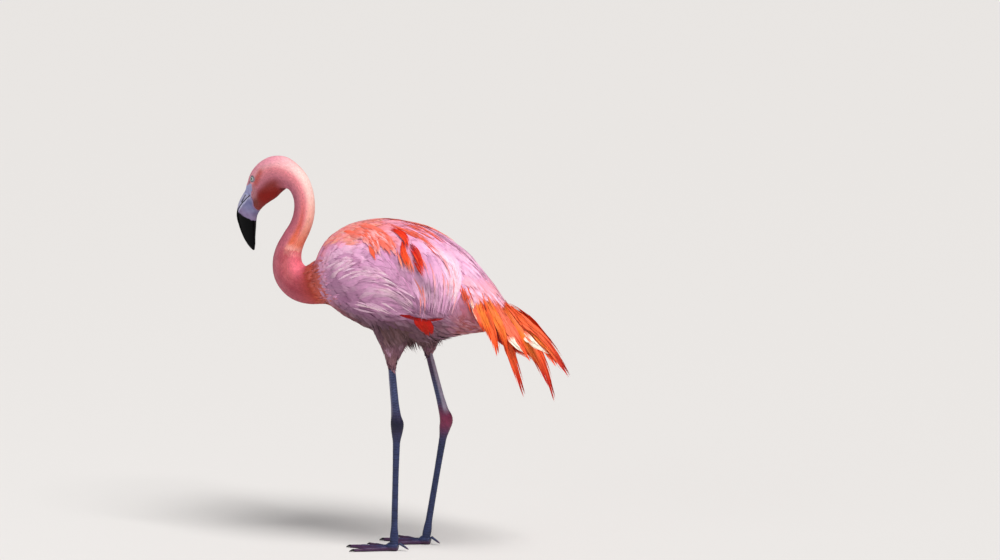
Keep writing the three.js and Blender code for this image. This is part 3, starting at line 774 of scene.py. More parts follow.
def body_colour(points):
    """Markings of the trunk, the wings and the thighs."""
    back, up = side_map(points)
    low = ramp(-up, -512, -420) * (1 - ramp(back, 70, 110))
    top = ramp(up, 520, 552) * (1 - 0.6 * ramp(back, 10, 60))
    flank = ramp(back, 84, 108) * (1 - ramp(up + 1.15 * back, 545, 590))
    return painted(
        PALE_LILAC,
        (WHITE_PINK, clipped(0.15 + 0.4 * ripple(points, 40, 1), 0.6)),
        # Darker lilac over the lower body: partly its colour and partly painted shade.
        (LILAC, clipped(0.62 + 0.40 * ripple(points, 34, 2), 0.95) * low),
        (mix(PALE_PINK, ORANGE, 0.3), 0.5 * top),
        (SALMON, 0.85 * patch(points, -72, 536, 66, 22, 2)),
        (SALMON, 0.8 * patch(points, -148, 492, 14, 40, -12)),
        (mix(SALMON, ORANGE, 0.4), 0.8 * patch(points, -18, 522, 26, 13, -40)),
        # Deeper pink on the rear flank: partly its colour and partly painted shade under the overhanging
        # drape.
        (SHADED_FLANK, 0.9 * flank),
        (VENT, 0.8 * flank * (1 - ramp(up, 378, 396))),
        (SHADE_PINK, 0.8 * ramp(-up, -400, -372) * (1 - flank)),
        (BREAST_EDGE, 0.8 * patch(points, -96, 392, 56, 10, -36)),
    )


def coat_colour(points, region):
    colour = body_colour(points)
    neck = region == NECK_REGION
    if neck.any():
        near = points[neck]
        on_trunk = (1 - ramp(trunk_ratio(near), 1.02, 1.14)) * ramp(near[:, 1], -182, -158)
        colour[neck] = mix(neck_colour(near), colour[neck], on_trunk)
    return clipped(colour)


def inside_polygon(corners, x, y):
    """Whether places lie inside a polygon."""
    inside = np.zeros(x.shape, bool)
    for (x1, y1), (x2, y2) in zip(corners, corners[1:] + corners[:1]):
        crosses = (y1 > y) != (y2 > y)
        inside ^= crosses & (x < (x2 - x1) * (y - y1) / (y2 - y1 + 1e-12) + x1)
    return inside


def bare_face(points):
    forward, up, _ = head_view(points)
    bare = inside_polygon(BARE_FACE, forward, up) | (from_eye(points) < 6.4)
    return bare & (points[:, 1] < -220) & (up > 540)


def skin_colours(points):
    region = region_of(points)
    # The body's skin is darkened by the painted shade of the hollows.
    colours = coat_colour(points, region) * np.where(region == NECK_REGION, 1, painted_shade_keep(points))[:, None]
    bare, leg = bare_face(points), region == LEG_REGION
    face = points[bare]
    colours[bare] = painted(BARE_WHITE, (HORN_ROSE, 0.15 + 0.15 * ripple(face, 8, 3)),
                            (EYE_RING, 0.8 * (1 - ramp(from_eye(face), 6.2, 9.0))))
    colours[leg] = leg_colour(points[leg])
    return colours


def painted_shin_highlight(points):
    """A painted highlight down the back of the right shin, and a weak one down the front of the left."""
    strip = np.zeros(len(points))
    for name, sign, edge, strength in (("left", 1, -1, 0.30), ("right", -1, 1, 0.75)):
        _, knee_y, knee_z = THIGHS[name][-1][:3]
        middle = np.interp(points[:, 2], [ANKLE_HEIGHT, knee_z], [LEGS[name][0], knee_y])
        past = ramp((points[:, 1] - middle) * edge, 1.5, 4.5) * (points[:, 0] * sign > 0)
        strip += strength * past * ramp(points[:, 2], 226, 242)
    return strip


def leg_colour(points):
    z = points[:, 2]
    right = points[:, 0] < 0
    near_ankle = bell(z, ANKLE_HEIGHT, 20)
    dots = 0.5 + 0.5 * np.sin(z * 2 * np.pi / SCUTE_PITCH) * np.cos(points[:, 0] * 1.9)
    scute_edge = (z / SCUTE_PITCH) % 1.0 > 0.80
    colour = painted(
        LEG_GREY,
        (LEG_PALE, 0.55 * dots * ramp(z, 225, 245) + 0.2 * dots),
        (LEG_DARK, 0.55 * scute_edge + 0.25 * clipped(ripple(points, 16, 15))),
        (ANKLE_ROSE, near_ankle * np.where(right, 0.9, 0.12)),
        (LEG_DARK, near_ankle * np.where(right, 0.18, 0.9)),
        (mix(LEG_DARK, ANKLE_ROSE, 0.3), 0.6 * ramp(z, 262, 322) * right),
        # the painted highlight down the shins
        (SHIN_HIGHLIGHT, painted_shin_highlight(points)),
        (mix(LEG_DARK, ANKLE_ROSE, 0.3), 0.55 * ramp(-z, -9, -4)),
    )
    return clipped(colour * (1 + 0.12 * ripple(points, 7, 5))[:, None])


# ---------------------------------------------------------------- skin
def thigh_form(name, sign):
    return Form([(sign * x, y, z, d, d, w) for x, y, z, d, w in THIGHS[name]])


# [which length of the leg, share of the way up it, how far ahead and behind, half width] from the top down.
LEG_SECTIONS = [
    ("upper", 1.06, 5.6, 5.6, 5), ("upper", 0.8, 6.4, 6.4, 5.6), ("upper", 0.35, 7, 7, 6),
    ("upper", 0.14, 8.4, 8.8, 7.4), ("upper", 0, 10.4, 12.2, 9.4), ("lower", 0.93, 8.8, 10.4, 8.2),
    ("lower", 0.84, 6, 6.6, 5.6), ("lower", 0.5, 5.2, 5.4, 4.6), ("lower", 0.14, 5.6, 5.8, 5),
    ("lower", 0.03, 7.2, 7.6, 7.4), ("lower", -0.04, 6.4, 6.6, 7),
]


def leg_form(name, sign):
    ankle, foot = LEGS[name]
    _, knee_y, knee_z = THIGHS[name][-1][:3]
    ends = {"upper": (ankle, knee_y, ANKLE_HEIGHT, knee_z), "lower": (foot, ankle, FOOT_TOP, ANKLE_HEIGHT)}
    stations = []
    for part, share, ahead, behind, side in LEG_SECTIONS:
        y1, y2, z1, z2 = ends[part]
        y, z = y1 + (y2 - y1) * share, z1 + (z2 - z1) * share
        stations.append((sign * STANCE_HALF, y, z, behind, ahead, side))
    return Form(stations)


def head_skin():
    shares = np.linspace(5 * SHARE_STEP, HEAD_END, HEAD_RINGS)
    forward, up, _ = head_view(HEAD_NECK.grid(shares, HEAD_SIDES))
    coat = COAT_NECK * ramp(-above(FEATHER_EDGE, forward, up), 0.0, 9.0)
    under_horn = 6.0 * ramp(above(HORN_EDGE, forward, up), -0.4, 2.4)
    inset = HEAD_INSET + np.where(shares[:, None] > NAPE_SHARE, COAT_NECK, coat + under_horn)
    points, faces = closed_tube(HEAD_NECK.grid(shares, HEAD_SIDES, -inset))
    return shape_face(points), faces


def shape_face(points):
    """Sinks the eye sockets and the hollow of the bare face."""
    points = points.copy()
    forward, up, side = head_view(points)
    gap = from_eye(points)
    sink = 2.6 * bell(gap, 0, 5.4) - 0.5 * bell(gap, 8.5, 2.2)
    hollow = np.exp(-(((forward - 63) / 6) ** 2) - ((up - 600) / 6) ** 2)
    for sign in (1, -1):
        near = side * sign > 2
        points[near, :2] -= sign * HEAD_LEFT * (sink + hollow)[near, None]
    return points


def body_skin():
    parts = [closed_tube(TRUNK.grid(steps(70), 72, -COAT_TRUNK))]
    parts.append(closed_tube(HEAD_NECK.grid(np.linspace(0.72, 1, 60), 56, -HEAD_INSET - COAT_NECK)))
    shares = steps(40)
    inset = -COAT_THIGH * (1 - ramp(shares, 0.55, 0.95)) - 0.3
    parts += [closed_tube(thigh_form(name, sign).grid(shares, 36, inset)) for name, sign in SIDES]
    points, faces = join(parts)
    points, quads = remeshed(points, listed(faces), BODY_VOXEL, 6)
    stand = wing_cover(points) * (trunk_ratio(points) < 1.03) * WING_STAND
    return points + point_normals(points, [quads]) * stand[:, None], [quads]


def wing_cover(points):
    """1 on the folded wings and 0 off them."""
    line = np.interp(points[:, 1], WING_EDGE[:, 0], WING_EDGE[:, 1])
    return ramp(points[:, 2] - line, -1.0, 5.0) * ramp(points[:, 1], -150, -138)


def leg_skin(name, sign):
    """A leg with cross plates down its front, a net of scales round its back and a wrinkled ankle."""
    form = leg_form(name, sign)
    shares = steps(LEG_RINGS)
    grid = form.grid(shares, LEG_SIDES)
    run = running(curve(form.stations[:, :3], shares))[:, None]
    angle = turns(LEG_SIDES)[None, :]
    front = ramp(-np.cos(angle), 0.1, 0.55)
    at_ankle = bell(grid[..., 2], ANKLE_HEIGHT, 17)
    scute = ((run / SCUTE_PITCH) % 1.0 - 0.5) * 0.17 * front
    net = 0.10 * np.sin(run * 2 * np.pi / 2.7 + 3.1 * np.cos(angle * 3)) * np.sin(angle * 7) * (1 - front)
    wrinkle = 0.11 * at_ankle * np.sin(run * 2 * np.pi / 3.1)
    depth = scute * (1 - at_ankle) + net + wrinkle
    return closed_tube(grid + unit(grid - grid.mean(axis=1, keepdims=True)) * depth[..., None])


def node_arrays(name):
    """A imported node's points in millimetres in the bird's own frame, and its faces as one group."""
    mesh = bpy.data.objects[name].data
    out = np.empty(len(mesh.vertices) * 3, np.float32)
    mesh.vertices.foreach_get("co", out)
    return out.reshape(-1, 3).astype(float) * 1000 - SHIFT, [[p.vertices for p in mesh.polygons]]


def foot_skin(name, sign):
    parts = [node_arrays(f"foot_{name}"), node_arrays(f"hind_toe_{name}")]
    parts.append(closed_tube(leg_form(name, sign).grid(np.linspace(0.93, 1, 12), 20, -0.4)))
    points, polygons = [], []
    for p, f in parts:
        polygons += listed(f, len(points))
        points += p.tolist()
    made, quads = remeshed(np.array(points), polygons, FOOT_VOXEL, 4)
    made[:, 2] = np.maximum(made[:, 2], 0.0)
    return scaled_toes(made, quads, name, sign), [quads]


def toe_axes(name, sign):
    root = np.array([sign * STANCE_HALF, LEGS[name][1]])
    for degrees, length, half in TOES.values():
        turn = math.radians(degrees) * sign
        yield root, np.array([math.sin(turn), -math.cos(turn)]), length, half


def scaled_toes(points, quads, name, sign):
    """Cross plates along the tops of the toes."""
    normals = point_normals(points, [quads])
    lift = np.zeros(len(points))
    for root, way, length, half in toe_axes(name, sign):
        away = points[:, :2] - root
        along = away @ way
        across = away @ np.array([-way[1], way[0]])
        on_toe = (np.abs(across) < half * 1.1) & (along > 2) & (along < length) & (points[:, 2] > 3.0)
        lift = np.where(on_toe, ((along / 3.0) % 1.0 - 0.5) * 0.36, lift)
    return points + normals * (lift * clipped(normals[:, 2]))[:, None]


class Surface:
    """The skin as something the coat can be laid on."""

    def __init__(self, points, faces):
        self.points = points
        self.normals = point_normals(points, faces)
        self.tris = np.vstack([f[:, k] for f in faces for k in ([0, 1, 2], [0, 2, 3])[: f.shape[1] - 2]])
        self.tree = BVHTree.FromPolygons(points.tolist(), self.tris.tolist())
        a, b, c = (points[self.tris[:, k]] for k in range(3))
        self.area = np.linalg.norm(np.cross(b - a, c - a), axis=1) / 2
        self.middle = (a + b + c) / 3

    def scatter(self, count, weight, rng):
        """Random places, thicker where the weight is higher."""
        chance = self.area * weight
        chosen = rng.choice(len(self.tris), count, p=chance / chance.sum())
        r1, r2 = np.sqrt(rng.random(count)), rng.random(count)
        shares = np.stack([1 - r1, r1 * (1 - r2), r1 * r2], axis=1)[..., None]
        corners = self.tris[chosen]
        return (self.points[corners] * shares).sum(1), unit((self.normals[corners] * shares).sum(1))

    def snap(self, places):
        """The nearest places on the skin, with smooth normals."""
        spots = np.empty_like(places)
        found = np.empty(len(places), int)
        for i, p in enumerate(places.tolist()):
            spots[i], _, found[i], _ = self.tree.find_nearest(p)
        corners = self.tris[found]
        gap = np.linalg.norm(self.points[corners] - spots[:, None], axis=2)
        weight = (1 / (gap + 0.05))[..., None]
        return spots, unit((self.normals[corners] * weight).sum(1))


def make_skin():
    parts = {"head": head_skin(), "body": body_skin()}
    for name, sign in SIDES:
        parts[f"leg_{name}"] = leg_skin(name, sign)
        parts[f"foot_{name}"] = foot_skin(name, sign)
    points, faces = join(list(parts.values()))
    skin = new_object("skin", points, faces, SKIN_LOOK, skin_colours(points))
    nodes = ["head", "neck_upper", "neck_middle", "neck_lower", "trunk"]
    for name, _ in SIDES:
        nodes += [f"{part}_{name}" for part in ("thigh", "shin", "ankle", "shank", "foot", "hind_toe")]
    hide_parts(*nodes)
    return Surface(*join([parts["head"], parts["body"]]))


SURFACE = make_skin()


# ---------------------------------------------------------------- blades: every feather and tuft
RIDGE = np.array([(-1.0, 0.0), (0.0, 1.0), (1.0, 0.0)])  # a blade's section: two slopes and a flat back
RIM = np.array([True, False, True])  # the corners of the section that stay sharp
PIECE_LIMIT = 190000  # triangles
BARB_THICK = 0.28
CAMBER = 0.10  # how far a feather's edges drop, as a share of its half width
ROOT_LIGHT, TIP_LIGHT = 0.9, 1.06


def blade_faces(count, stations):
    """Faces of closed blades that end in a point."""
    k = len(RIDGE)
    edges = [(j, (j + 1) % k) for j in range(k)]
    tip = (stations - 1) * k
    quads = [(s + a, s + b, s + b + k, s + a + k) for s in range(0, tip - k, k) for a, b in edges]
    tris = [(tip - k + a, tip - k + b, tip) for a, b in edges] + [(0, 2, 1)]
    starts = (np.arange(count) * (tip + 1))[:, None, None]
    return [(np.array(f)[None] + starts).reshape(-1, len(f[0])) for f in (quads, tris)]


def blade_piece(name, spines, laterals, normals, halves, thick, colours, roots_map, look, slot, replaces=()):
    """Closed blades from middle lines (M, T, 3), half widths (M, T) and colours (M, T, 3)."""
    m, t, _ = spines.shape
    k = len(RIDGE)
    parts = math.ceil(m * ((t - 2) * k * 2 + k + 1) / PIECE_LIMIT)
    body = spines[:, :-1, None] + laterals[:, :-1, None] * (RIDGE[:, 0] * halves[:, :-1, None])[..., None]
    body = body + normals[:, :-1, None] * (RIDGE[:, 1] * thick)[..., None]
    points = np.concatenate([body.reshape(m, -1, 3), spines[:, -1:]], axis=1)
    tones = np.concatenate([np.repeat(colours[:, :-1], k, axis=1), colours[:, -1:]], axis=1)
    across = np.append(np.tile((RIDGE[:, 0] + 1) / 2, t - 1), 0.5)
    along = np.append(np.repeat(np.arange(t - 1) / (t - 1), k), 1.0)
    local = (np.stack([across, along], axis=1) - 0.5) * BAKE_PATCH
    sharp = np.append(np.tile(RIM, t - 1), True)
    for part, rows in enumerate(np.array_split(np.arange(m), parts)):
        label = name if parts == 1 else f"{name}_{part + 1}"
        maps = {"OFBake": (roots_map[rows][:, None] + local).reshape(-1, 2)}
        made = new_object(label, points[rows].reshape(-1, 3), blade_faces(len(rows), t), look,
                          tones[rows].reshape(-1, 3), maps, crease=np.tile(sharp, len(rows)))
        if replaces and part == 0:
            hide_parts(*replaces)


def spread(values, low=0.004, high=0.996):
    return low + (high - low) * (values - values.min()) / max(np.ptp(values), 1e-6)


def neck_unwrap(points):
    """Along the spine and round it."""
    index, angle = nearest_spine(points)
    return np.stack([spread(SPINE_RUN[index]), spread(angle)], axis=1)


def body_unwrap(points):
    """Along the trunk and round it."""
    angle = np.arctan2(points[:, 0], points[:, 2] - trunk_middle(points[:, 1]))
    return np.stack([spread(points[:, 1]), spread(angle)], axis=1)


def turned(way, normal, angle):
    """Directions turned about normals by angles."""
    return way * np.cos(angle)[:, None] + np.cross(normal, way) * np.sin(angle)[:, None]


def walk(roots, normals, lengths, stations, swing, region=None):
    """Middle lines that follow the lie of the coat over the skin, with the skin's normals."""
    spots, ups = [roots], [normals]
    p, n = roots, normals
    for _ in range(stations - 1):
        way = turned(lie_of(p, n, region), n, swing)
        p, n = SURFACE.snap(p + way * (lengths / (stations - 1))[:, None])
        spots.append(p)
        ups.append(n)
    return np.stack(spots, 1), np.stack(ups, 1)


def lay(spots, ups, height):
    """Middle lines lifted off the skin by heights (N, S), with their sideways and upward directions."""
    spines = spots + ups * height[..., None]
    along = unit(np.gradient(spines, axis=1))
    laterals = unit(np.cross(along, ups))
    return spines, laterals, unit(np.cross(laterals, along))


def tufts(name, roots, normals, lengths, halves, lift, swing, seed, thick):
    """Small tapered tufts over the head and neck, each following the lie of the coat."""
    rng = np.random.default_rng(seed)
    n, stations = len(roots), 3
    region = np.full(n, NECK_REGION)
    spots, ups = walk(roots, normals, lengths, stations, rng.normal(size=n) * swing, region)
    shares = steps(stations)
    low, high = lift
    height = (low + (high - low) * shares[None] ** 1.2) * rng.uniform(0.75, 1.25, n)[:, None]
    spines, laterals, tops = lay(spots, ups, height)
    wide = halves[:, None] * np.interp(shares, [0, 0.4, 0.75, 1], [0.7, 1, 0.7, 0])[None]
    base, tip = coat_colour(roots, region), coat_colour(spots[:, -1], region)
    tone = 1 + 0.08 * rng.normal(size=(n, 1, 1))
    light = np.interp(shares, [0, 1], [0.96, 1.05])[None, :, None]
    colours = (base[:, None] + (tip - base)[:, None] * shares[None, :, None]) * tone * light
    roots_map = neck_unwrap(roots)
    blade_piece(name, spines, laterals, tops, wide, thick, colours, roots_map, TUFT_LOOK, "plumage_pink")


def feathers(name, spots, ups, halves, height, base, tip, slot, seed, barbs=9, stations=5, point=0.65,
             ragged=0.10, fill=1.75, fade=(0.0, 1.0), tone=0.05, look=VANE_LOOK, replaces=(), drop=None):
    """Soft feathers on middle lines (N, S, 3): each is a fan of narrow barbs whose tips make its outline."""
    rng = np.random.default_rng(seed)
    n, s, _ = spots.shape
    spine, lateral, top = lay(spots, ups, height)
    if drop is not None:
        spine[..., 2] -= drop[:, None] * steps(s)[None] ** 1.6
    q = np.linspace(-1, 1, barbs)[None, :, None]
    t = steps(stations)[None, None, :]
    start = 0.02 + 0.30 * np.abs(q) * rng.uniform(0.7, 1.3, (n, barbs, 1))
    end = 1 - 0.22 * q**2 - ragged * rng.random((n, barbs, 1))
    end[:, barbs // 2] = 1
    share = start + (end - start) * t
    place = share * (s - 1)
    index = np.minimum(place.astype(int), s - 2)
    weight = (place - index)[..., None]
    rows = np.arange(n)[:, None, None]
    lines = (p[rows, index] * (1 - weight) + p[rows, index + 1] * weight for p in (spine, lateral, top))
    centre, side, rise = lines
    side, rise = unit(side), unit(rise)
    opened = 1 - (1 - np.minimum(t * 1.7, 1)) ** 2
    half = halves[:, None, None]
    out = half * q * opened * (1 - (1 - point) * ramp(share, 0.45, 1.0))
    out = out + half * 0.05 * rng.normal(size=(n, barbs, 1)) * t
    centre = centre + side * out[..., None] - rise * (CAMBER * half * q**2 * opened)[..., None]
    taper = np.interp(t, [0, 0.25, 0.7, 1], [0.3, 1, 0.85, 0])
    wide = half * (fill / (barbs - 1)) * taper * np.ones_like(share)
    light = (1 + tone * rng.normal(size=(n, 1, 1))) * (1 + 0.03 * rng.normal(size=(n, barbs, 1)))
    light = light * (1 + 0.05 * q**2) * (ROOT_LIGHT + (TIP_LIGHT - ROOT_LIGHT) * share)
    colours = base[:, None, None] + (tip - base)[:, None, None] * ramp(share, *fade)[..., None]
    # The painted shade of the hollows darkens the feathers there too.
    colours = colours * (light * painted_shade_keep(centre))[..., None]
    m = n * barbs
    root = body_unwrap(spots[:, 0])[:, None] + np.stack([0 * q[0, :, 0], q[0, :, 0] * 0.002], axis=1)[None]
    frames = (v.reshape(m, stations, 3) for v in (centre, side, rise))
    blade_piece(name, *frames, wide.reshape(m, stations), BARB_THICK, colours.reshape(m, stations, 3),
                np.clip(root.reshape(m, 2), 0.002, 0.998), look, slot, replaces)


# ---------------------------------------------------------------- the short coat
def spaced(points, radius, rng):
    """Indices of points that are at least a radius apart, in random order."""
    kept, cells = [], {}
    near = [(dx, dy, dz) for dx in (-1, 0, 1) for dy in (-1, 0, 1) for dz in (-1, 0, 1)]
    keys = np.floor(points / radius).astype(int).tolist()
    places = points.tolist()
    for i in rng.permutation(len(points)).tolist():
        x, y, z = places[i]
        a, b, c = keys[i]
        around = (places[j] for dx, dy, dz in near for j in cells.get((a + dx, b + dy, c + dz), ()))
        if not any((x - p) ** 2 + (y - q) ** 2 + (z - r) ** 2 < radius * radius for p, q, r in around):
            cells.setdefault((a, b, c), []).append(i)
            kept.append(i)
    return np.array(kept)


def scattered(count, weight, radius, rng):
    """Random places on the skin that are at least a radius apart."""
    roots, normals = SURFACE.scatter(count, weight.astype(float), rng)
    kept = spaced(roots, radius, rng)
    return roots[kept], normals[kept]


HEAD_TUFTS = 11000
# [which length of the neck, from and to as shares of the head and neck, how many tufts, how long]
NECK_TUFTS = [("upper", NAPE_SHARE, 0.76, 12500, 8.0), ("lower", 0.76, 1.01, 16500, 10.0)]
BODY_TRIES, BODY_GAP = 30000, 7.4  # places tried for the short coat, and how far apart those kept are
THIGH_TRIES, THIGH_GAP = 6000, 3.4
CAP_NORMAL = -0.75  # the thigh's flat lower end points further down than this


def coat_head_and_neck():
    rng = np.random.default_rng(11)
    middle = SURFACE.middle
    share = SPINE_SHARES[nearest_spine(middle)[0]]
    forward, up, _ = head_view(middle)
    on_face = share < NAPE_SHARE + 0.01
    feathered = (region_of(middle) == NECK_REGION) & ~bare_face(middle)
    feathered &= ~(on_face & (above(FEATHER_EDGE, forward, up) > 0))
    roots, normals = SURFACE.scatter(HEAD_TUFTS, feathered * on_face * (1.0 + 1.4 * (share < 0.42)), rng)
    lengths = (3.6 + 3.4 * ramp(from_eye(roots), 8, 45)) * rng.uniform(0.8, 1.25, len(roots))
    tufts("coat_head", roots, normals, lengths, lengths * 0.14 + 0.15, (-0.12, 0.18), 0.10, 12, thick=0.11)
    for label, low, high, count, size in NECK_TUFTS:
        part = feathered & (share >= low) & (share < high)
        roots, normals = SURFACE.scatter(count, part.astype(float), rng)
        lengths = size * rng.uniform(0.75, 1.3, count)
        tufts(f"coat_neck_{label}", roots, normals, lengths, lengths * 0.15, (-0.13, 0.32), 0.09, 13,
              thick=0.13)


def coat_body():
    """Soft overlapping feathers over the trunk and the folded wings."""
    rng = np.random.default_rng(21)
    roots, normals = scattered(BODY_TRIES, region_of(SURFACE.middle) == BODY_REGION, BODY_GAP, rng)
    back, up = side_map(roots)
    size = 40 + 20 * ramp(back, -140, 0) + 6 * ripple(roots, 60, 6)
    size *= 0.6 + 0.4 * ramp(up, 372, 430)
    cover = wing_cover(roots) > 0.5
    pieces = {"wing_left": cover & (roots[:, 0] > 0), "wing_right": cover & (roots[:, 0] <= 0),
              "underside": ~cover}
    for seed, (part, chosen) in enumerate(pieces.items()):
        n = chosen.sum()
        lengths = size[chosen] * rng.uniform(0.85, 1.15, n)
        spots, ups = walk(roots[chosen], normals[chosen], lengths, 6, rng.normal(size=n) * 0.10)
        height = (-0.2 + 2.3 * steps(6)[None] ** 1.1) * rng.uniform(0.85, 1.2, n)[:, None]
        kind = np.full(n, BODY_REGION)
        base, tip = coat_colour(spots[:, 0], kind), coat_colour(spots[:, -1], kind)
        tip = mix(tip, WHITE_PINK, clipped(rng.normal(size=n) * 0.22, 0.5))
        tip = mix(tip, LILAC, clipped(rng.normal(size=n) * 0.22, 0.5) * (side_map(spots[:, -1])[1] < 500))
        hang = bell(back[chosen], 22, 46) * (1 - ramp(up[chosen], 366, 384)) * 7
        feathers(f"coat_{part}", spots, ups, lengths * 0.13 + 2.0, height, base, tip, "plumage_pale",
                 30 + seed, barbs=11, replaces=(part,) if part != "underside" else (), drop=hang)


def coat_thighs():
    """Fluffy feathers, which hang straight down where the bare leg comes out of them."""
    rng = np.random.default_rng(51)
    middle = SURFACE.middle
    thigh = region_of(middle) == THIGH_REGION
    side_on = SURFACE.normals[SURFACE.tris].mean(1)[:, 2] > CAP_NORMAL
    for name, sign in SIDES:
        part = thigh & (middle[:, 0] * sign > 0) & side_on
        roots, normals = scattered(THIGH_TRIES, part, THIGH_GAP, rng)
        n, top = len(roots), LEG_TOP[name]
        lengths = rng.uniform(15, 25, n)
        kind = np.full(n, THIGH_REGION)
        shares = steps(5)
        spots, ups = walk(roots, normals, lengths, 5, rng.normal(size=n) * 0.14, kind)
        along = lengths[:, None] * shares
        straight = roots[:, None] + lie_of(roots, normals, kind)[:, None] * along[..., None]
        spots = mix(spots, straight, (1 - ramp(roots[:, 2], top + 14, top + 34))[:, None])
        height = (0.1 + 2.6 * shares[None] ** 1.2) * rng.uniform(0.7, 1.3, n)[:, None]
        base = coat_colour(spots[:, 0], kind)
        tip = mix(base, FLUFF_PALE, 0.7 * (1 - ramp(roots[:, 2], top + 18, top + 48)))
        halves = rng.uniform(2.2, 3.4, n)
        feathers(f"coat_thigh_{name}", spots, ups, halves, height, base, tip, "plumage_pale", 52, barbs=5,
                 stations=4, tone=0.07)


# ---------------------------------------------------------------- groups of longer feathers
LINE_OF_SIGHT = np.linspace(0, 100, 26)
GUIDE_STATIONS = 8


def surface_point(back, up, sign, loose=4.0):
    """The place on the skin of one side that has a place on the side map, or else the nearest one to it."""
    far, near = side_place(back, up, 200.0, sign), side_place(back, up, 0.0, sign)
    hit = SURFACE.tree.ray_cast(Vector(far), Vector(near - far))[0]
    if hit is not None and hit[0] * sign > -1:
        return np.array(hit)
    line = np.array([side_place(back, up, out, sign) for out in LINE_OF_SIGHT])
    spots, _ = SURFACE.snap(line)
    gap = np.linalg.norm(spots - line, axis=1)
    best = gap.argmin()
    return mix(spots[best], line[best], min(gap[best], loose) / max(gap[best], 1e-6))


def over_skin(marks, sign, loose):
    """A line over one side through marks on the side map, with directions away from the skin."""
    knots = [surface_point(b, u, sign, loose) for b, u in marks]
    line = curve(np.array(knots), steps(GUIDE_STATIONS))
    spots, ups = SURFACE.snap(line)
    near = 1 - ramp(np.linalg.norm(spots - line, axis=1), 3.0, 9.0)
    return mix(line, spots, near), ups


def tract(name, side, sign, count, reach, half, lift, base, tip, seed, slot="plumage_pale", barbs=7,
          jitter=4.0, point=0.6, tone=0.05, white=0.2, curl=0.0, loose=4.0, graded=False):
    """Long feathers between guide lines [back, up], each taking a stretch of the way along them."""
    rng = np.random.default_rng(seed)
    guides = np.array(GUIDES[name], float).reshape(-1, 4, 2)
    spots, ups, heights, middles = [], [], [], []
    for k in range(count):
        across = (len(guides) - 1) * (k + rng.random()) / count
        i = min(int(across), len(guides) - 2)
        guide = guides[i] * (1 - across + i) + guides[i + 1] * (across - i)
        length = rng.uniform(*reach)
        begin = rng.random() * (1 - length)
        middles.append(begin / (1 - length))
        marks = curve(guide, begin + length * steps(4)) + rng.normal(size=2) * jitter * 0.5
        spot, up = over_skin(marks, sign, loose)
        spots.append(spot)
        ups.append(up)
        rise = steps(GUIDE_STATIONS) ** (1.1 + curl) * rng.uniform(0.9, 1.15)
        heights.append(lift[0] + (lift[1] - lift[0]) * rise)
    pick, pick_tip = rng.random(count), rng.random(count) ** 1.5
    if graded:
        pick = pick_tip = ramp(np.array(middles) + 0.12 * rng.normal(size=count), 0.45, 1.05)
    last = painted(tip[0], (tip[1], pick_tip), (WHITE_PINK, white * rng.random(count)))
    halves = half * rng.uniform(0.8, 1.2, count)
    feathers(f"{name}_{side}", np.array(spots), np.array(ups), halves, np.array(heights), mix(*base, pick),
             last, slot, seed + 1, barbs=barbs, point=point, tone=tone)


